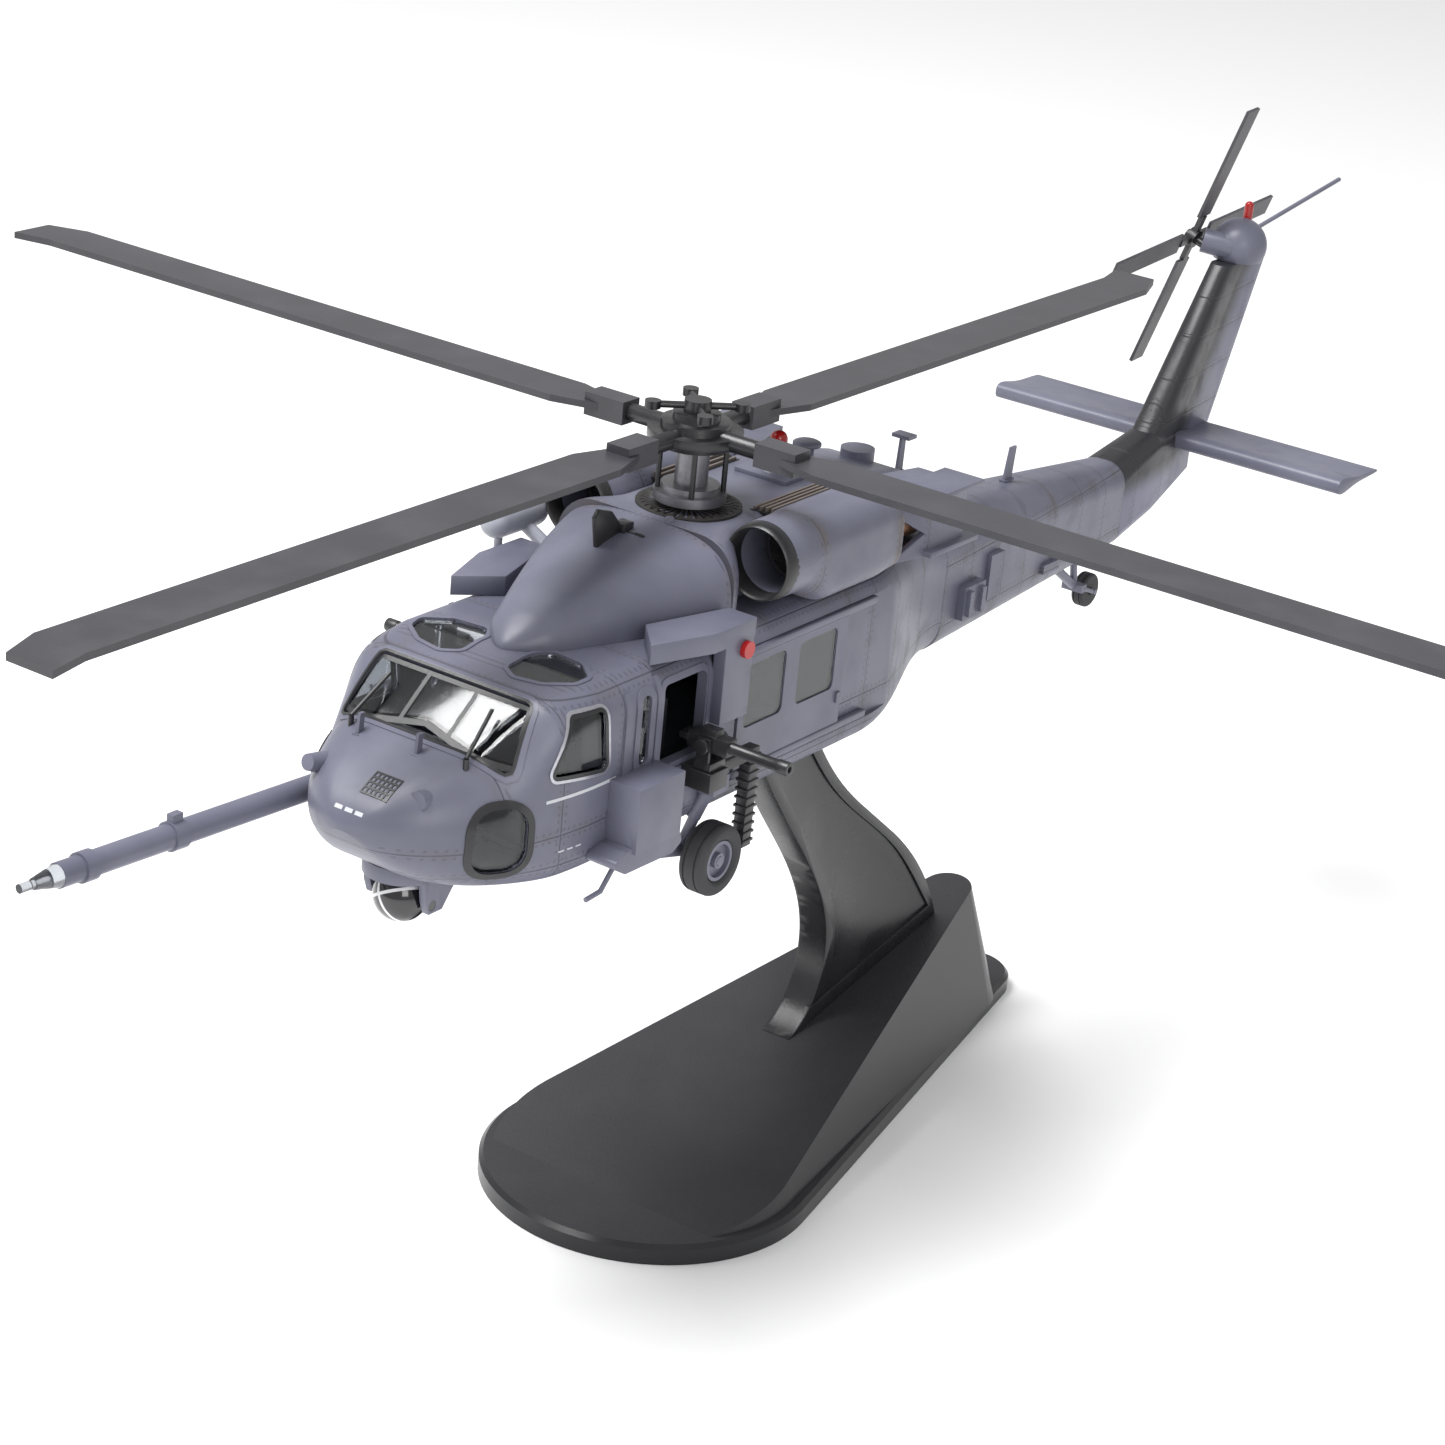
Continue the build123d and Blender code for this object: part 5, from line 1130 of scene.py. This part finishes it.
    def cowl(self, side: int) -> None:
        """One engine cowl: a round intake barrel that swells into a long soft box."""
        s = np.concatenate([np.linspace(60.2, 68.5, 30), np.linspace(68.5, 85.0, 20)[1:]])
        swell = ease((s - 64.0) / 5.0)
        tail = ease((s - 79.0) / 7.0)
        inner = 8.95 - 0.33 * swell
        outer = 18.95 - 0.1 * swell - 0.5 * tail
        low = 31.0 - 1.6 * swell + 0.2 * tail
        high = 41.0 - 0.55 * swell - 0.9 * tail
        low_r = 4.95 - 1.9 * swell
        high_r = 4.95 - 1.35 * swell
        left, right = (inner, outer) if side > 0 else (-outer, -inner)
        body = show("cowl", lofted(s, box_rings(left, right, low, high, low_r, high_r), "cowl"))
        x, mouth, outlet = side * self.intake_side, self.intake_high, 34.6
        bore = Shell().rod((x, 59.0, mouth), (x, 70.0, mouth), (4.35, 4.2, 3.2), (0, 0.5, 1), 48)
        bore.rod((x, 82.0, outlet), (x, 87.0, outlet), (2.75, 2.75), (0, 1), 40)
        carve(body, bore.mesh("bore"))
        mesh = body.data
        bpy.data.objects.remove(body)
        name = "port" if side > 0 else "starboard"
        paint = self.paints.deck()
        piece(f"engine_cowl_{name}", mesh, paint, "helicopter", (f"cowl_{name}",))
        slats = Shell()
        for n in range(7):
            x = side * (6.5 + n * 0.88)
            slats.block((x - 0.17, x + 0.17), (68.2, 82.4), (38.4, 39.15 + 0.15 * n - 0.012 * n * n))
        bed = Shell().block((side * 6.1, side * 12.4), (67.8, 82.8), (38.2, 38.8))
        brown = self.paints.plastic("louvre_edge", (0.16, 0.135, 0.12), (0.12, 0.10, 0.09), 0.5)
        piece(f"louvre_slats_{name}", slats.mesh("slats"), brown, "helicopter", edge=0.06)
        piece(f"louvre_bed_{name}", bed.mesh("bed"), self.paints.trim(), "helicopter")

    def lips(self) -> None:
        """Black rolled lips of the two intakes, with a pointed hub and a back disc inside."""
        shell = Shell()
        turn = np.arange(64) * 2 * math.pi / 64
        roll = np.linspace(0, 2 * math.pi, 17)[:-1]
        for side in (-1, 1):
            r = 4.55 + 0.42 * np.cos(roll)[:, None]
            s = 60.0 + 1.7 * np.sin(roll)[:, None] * np.ones(64)
            x, w = side * self.intake_side, self.intake_high
            ring = row(x + r * np.cos(turn), s, w + r * np.sin(turn))
            shell.grid(np.concatenate([ring, ring[:1]]), around=True)
            shell.rod((x, 61.5, w), (x, 67, w), (0.05, 1.0, 1.5), (0, 0.4, 1), 32)
            shell.rod((x, 66.8, w), (x, 67.6, w), (4.2, 4.2), (0, 1), 48)
        trim = self.paints.plastic("intake_black", (0.012, 0.012, 0.014), (0.026, 0.024, 0.024), 0.42)
        piece("intake_rings", shell.mesh("lips"), trim, "helicopter", ("intake_lips",))

    def build(self) -> None:
        """Make every part of the deck."""
        self.front_fairing()
        self.rotor_deck()
        for side in (-1, 1):
            self.cowl(side)
        self.lips()


# ------------------------------------------------------------------ the rest
@dataclass(frozen=True)
class Softening:
    """Rounding for pieces on one body: the record's slot, the rounding in mm and the nodes."""

    body: str
    slot: str
    edge: float
    nodes: tuple


@dataclass
class Fittings:
    """The stand, tail, rotors, doors, guns, gear and small fittings, dressed in their finishes."""

    paints: Paints

    def softenings(self) -> list:
        """Every piece shown with rounded edges."""
        hull = ("helicopter", "airframe_grey")
        made = [
            Softening(*hull, 0.55, ("upper_fairings", "side_boxes")),
            Softening(*hull, 0.22, ("aft_fairing", "exhaust_port", "exhaust_starboard", "tail_fin")),
            Softening(*hull, 0.18, ("stabilator", "gear_struts", "door_rails", "gearbox_fairing")),
            Softening("helicopter", "gun_black", 0.22, ("gun_brackets",)),
            Softening(*hull, 0.25, ("hoist",)),
            Softening(*hull, 0.2, ("turret_yoke",)),
            Softening("stand", "stand_black", 0.35, ("stand_arm",)),
            Softening("main_rotor", "black_plastic", 0.25, ("rotor_hub",)),
        ]
        for side in ("port", "starboard"):
            made.append(Softening(f"{side}_gun_mount", "gun_black", 0.15, (f"gun_mount_{side}",)))
        for side in ("port", "starboard"):
            made.append(Softening(f"{side}_gun", "gun_black", 0.12, (f"gun_{side}",)))
        return made

    def soften(self, node: str, material: bpy.types.Material, how: Softening) -> None:
        """Show a copy of a node with its hard edges rounded, in the node's place."""
        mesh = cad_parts[node].data.copy()
        welded = bmesh.new()
        welded.from_mesh(mesh)
        bmesh.ops.remove_doubles(welded, verts=welded.verts, dist=1e-6)
        flat = math.radians(1.0)
        bmesh.ops.dissolve_limit(welded, angle_limit=flat, verts=welded.verts, edges=welded.edges)
        welded.to_mesh(mesh)
        welded.free()
        piece(f"soft_{node}", mesh, material, how.body, (node,), how.edge)

    def finishes(self) -> dict:
        """The finish of each node; a node that isn't named here is plain grey."""
        paints = self.paints
        families = (
            (
                paints.clear("clear_panes", (0.42, 0.44, 0.47)),
                ("windscreen", "roof_windows", "side_windows", "door_windows_port"),
                ("door_windows_starboard", "probe_nozzle"),
            ),
            (
                paints.trim(),
                ("windscreen_frame", "wipers", "instrument_panel", "rotor_hub", "rotor_cap"),
                ("pitch_links", "tail_rotor_hub"),
            ),
            (
                paints.plastic("gun_metal", (0.014, 0.014, 0.016), (0.03, 0.03, 0.032), 0.38),
                ("gun_brackets", "gun_mount_port", "gun_mount_starboard", "gun_port", "gun_starboard"),
            ),
            (
                paints.plastic("interior", (0.035, 0.035, 0.045), (0.05, 0.05, 0.06), 0.6),
                ("cabin_floor", "seats"),
            ),
            (
                paints.plastic("blade_grey", (0.028, 0.028, 0.034), (0.045, 0.045, 0.052), 0.42),
                ("rotor_blades", "tail_rotor_blades"),
            ),
            (
                paints.plastic("tyre", (0.022, 0.022, 0.025), (0.035, 0.035, 0.038), 0.7),
                ("tyre_port", "tyre_starboard", "tail_wheel"),
            ),
            (paints.deck(), ("aft_fairing", "exhaust_port", "exhaust_starboard")),
            (paints.paint("boom_grey", skin=Skin.BOOM), ("tail_boom",)),
            (paints.fin(), ("tail_fin",)),
            (paints.paint("hoist_pale", (0.36, 0.37, 0.42), (0.30, 0.31, 0.36)), ("hoist",)),
            (paints.sensor(), ("turret_ball",)),
            (paints.metal("copper", (0.62, 0.34, 0.20), 0.4), ("exhaust_pipes",)),
            (paints.metal("mast_steel", (0.30, 0.30, 0.32), 0.35), ("rotor_mast",)),
            (paints.metal("screw_steel", (0.5, 0.5, 0.52), 0.3), ("stand_screws",)),
            (paints.plastic("lamp_red", (0.42, 0.012, 0.012), (0.30, 0.008, 0.008), 0.15, 0.005), ("lamps",)),
            (paints.base_top(), ("stand_base",)),
            (
                paints.plastic("arm_satin", (0.010, 0.010, 0.012), (0.014, 0.014, 0.016), 0.3, 0.01),
                ("stand_arm",),
            ),
        )
        return {node: family[0] for family in families for nodes in family[1:] for node in nodes}

    def build(self) -> None:
        """Round the pieces that need it and give every node that is shown its finish."""
        finishes = self.finishes()
        grey = self.paints.grey()
        for softer in self.softenings():
            for node in softer.nodes:
                self.soften(node, finishes.get(node, grey), softer)
        shown = {node: thing for node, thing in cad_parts.items() if not thing.hide_render}
        for node, thing in shown.items():
            thing.data.materials.clear()
            thing.data.materials.append(finishes.get(node, grey))
        log.info("dressed %d nodes", len(shown))


@dataclass
class Studio:
    """Pale floor, soft light and the camera."""

    eye: tuple = (0.23221, -0.33960, 0.23853)
    yaw: float = -33.41
    pitch: float = -22.40
    roll: float = 5.64
    lens: float = 87.05
    aim: tuple = (0.0, 0.03, 0.07)
    floor_half: float = 3.0
    floor_drop: float = 0.00005
    glow: float = 0.62

    def floor(self) -> None:
        """Large pale sheet under the stand."""
        span = np.linspace(-self.floor_half, self.floor_half, 3)
        x, y = np.meshgrid(span, span)
        mesh = Shell().grid(np.stack([x, y, 0 * x - self.floor_drop], -1)).mesh("floor", closed=False)
        material = bpy.data.materials.new("floor_pale")
        material.use_nodes = True
        shader = material.node_tree.nodes["Principled BSDF"]
        shader.inputs["Base Color"].default_value = rgba((0.92, 0.92, 0.92))
        shader.inputs["Roughness"].default_value = 0.9
        mesh.materials.append(material)
        show("floor", mesh)

    def lamp(self, name: str, at: tuple, size: float, power: float) -> None:
        """Square soft light aimed at the middle of the model."""
        data = bpy.data.lights.new(name, "AREA")
        data.shape = "SQUARE"
        data.size = size
        data.energy = power
        lamp = bpy.data.objects.new(name, data)
        lamp.location = at
        lamp.rotation_euler = (Vector(self.aim) - Vector(at)).to_track_quat("-Z", "Y").to_euler()
        bpy.context.scene.collection.objects.link(lamp)

    def camera(self) -> None:
        """Camera from yaw, pitch and roll: yaw and pitch give the way it looks, and the roll turns
        its right and up about that line."""
        yaw, pitch, roll = (math.radians(v) for v in (self.yaw, self.pitch, self.roll))
        look = Vector((math.cos(pitch) * math.sin(yaw), math.cos(pitch) * math.cos(yaw), math.sin(pitch)))
        flat = look.cross(Vector((0, 0, 1))).normalized()
        rise = flat.cross(look)
        right = flat * math.cos(roll) + rise * math.sin(roll)
        up = rise * math.cos(roll) - flat * math.sin(roll)
        data = bpy.data.cameras.new("camera")
        data.lens = self.lens
        data.sensor_width = 36.0
        data.clip_start = 0.01
        data.clip_end = 20.0
        thing = bpy.data.objects.new("camera", data)
        turn = Matrix((right, up, -look)).transposed()
        thing.matrix_world = Matrix.Translation(self.eye) @ turn.to_4x4()
        bpy.context.scene.collection.objects.link(thing)
        bpy.context.scene.camera = thing

    def build(self) -> None:
        """Set the stage."""
        self.floor()
        world = bpy.data.worlds.new("studio")
        world.use_nodes = True
        sky = world.node_tree.nodes["Background"]
        sky.inputs["Color"].default_value = (1, 1, 1, 1)
        sky.inputs["Strength"].default_value = self.glow
        bpy.context.scene.world = world
        bpy.context.scene.view_settings.view_transform = "Standard"
        self.lamp("key", (-0.25, -0.30, 0.90), 0.5, 13.0)
        self.lamp("side", (0.75, -0.55, 0.45), 0.4, 2.5)
        self.camera()


def main() -> None:
    """Build the model's looks in order."""
    logging.basicConfig(level=logging.INFO, format="%(message)s")
    paints = Paints()
    Fuselage(paints).build()
    UpperDeck(paints).build()
    Fittings(paints).build()
    Studio().build()


if __name__ == "__main__":
    main()
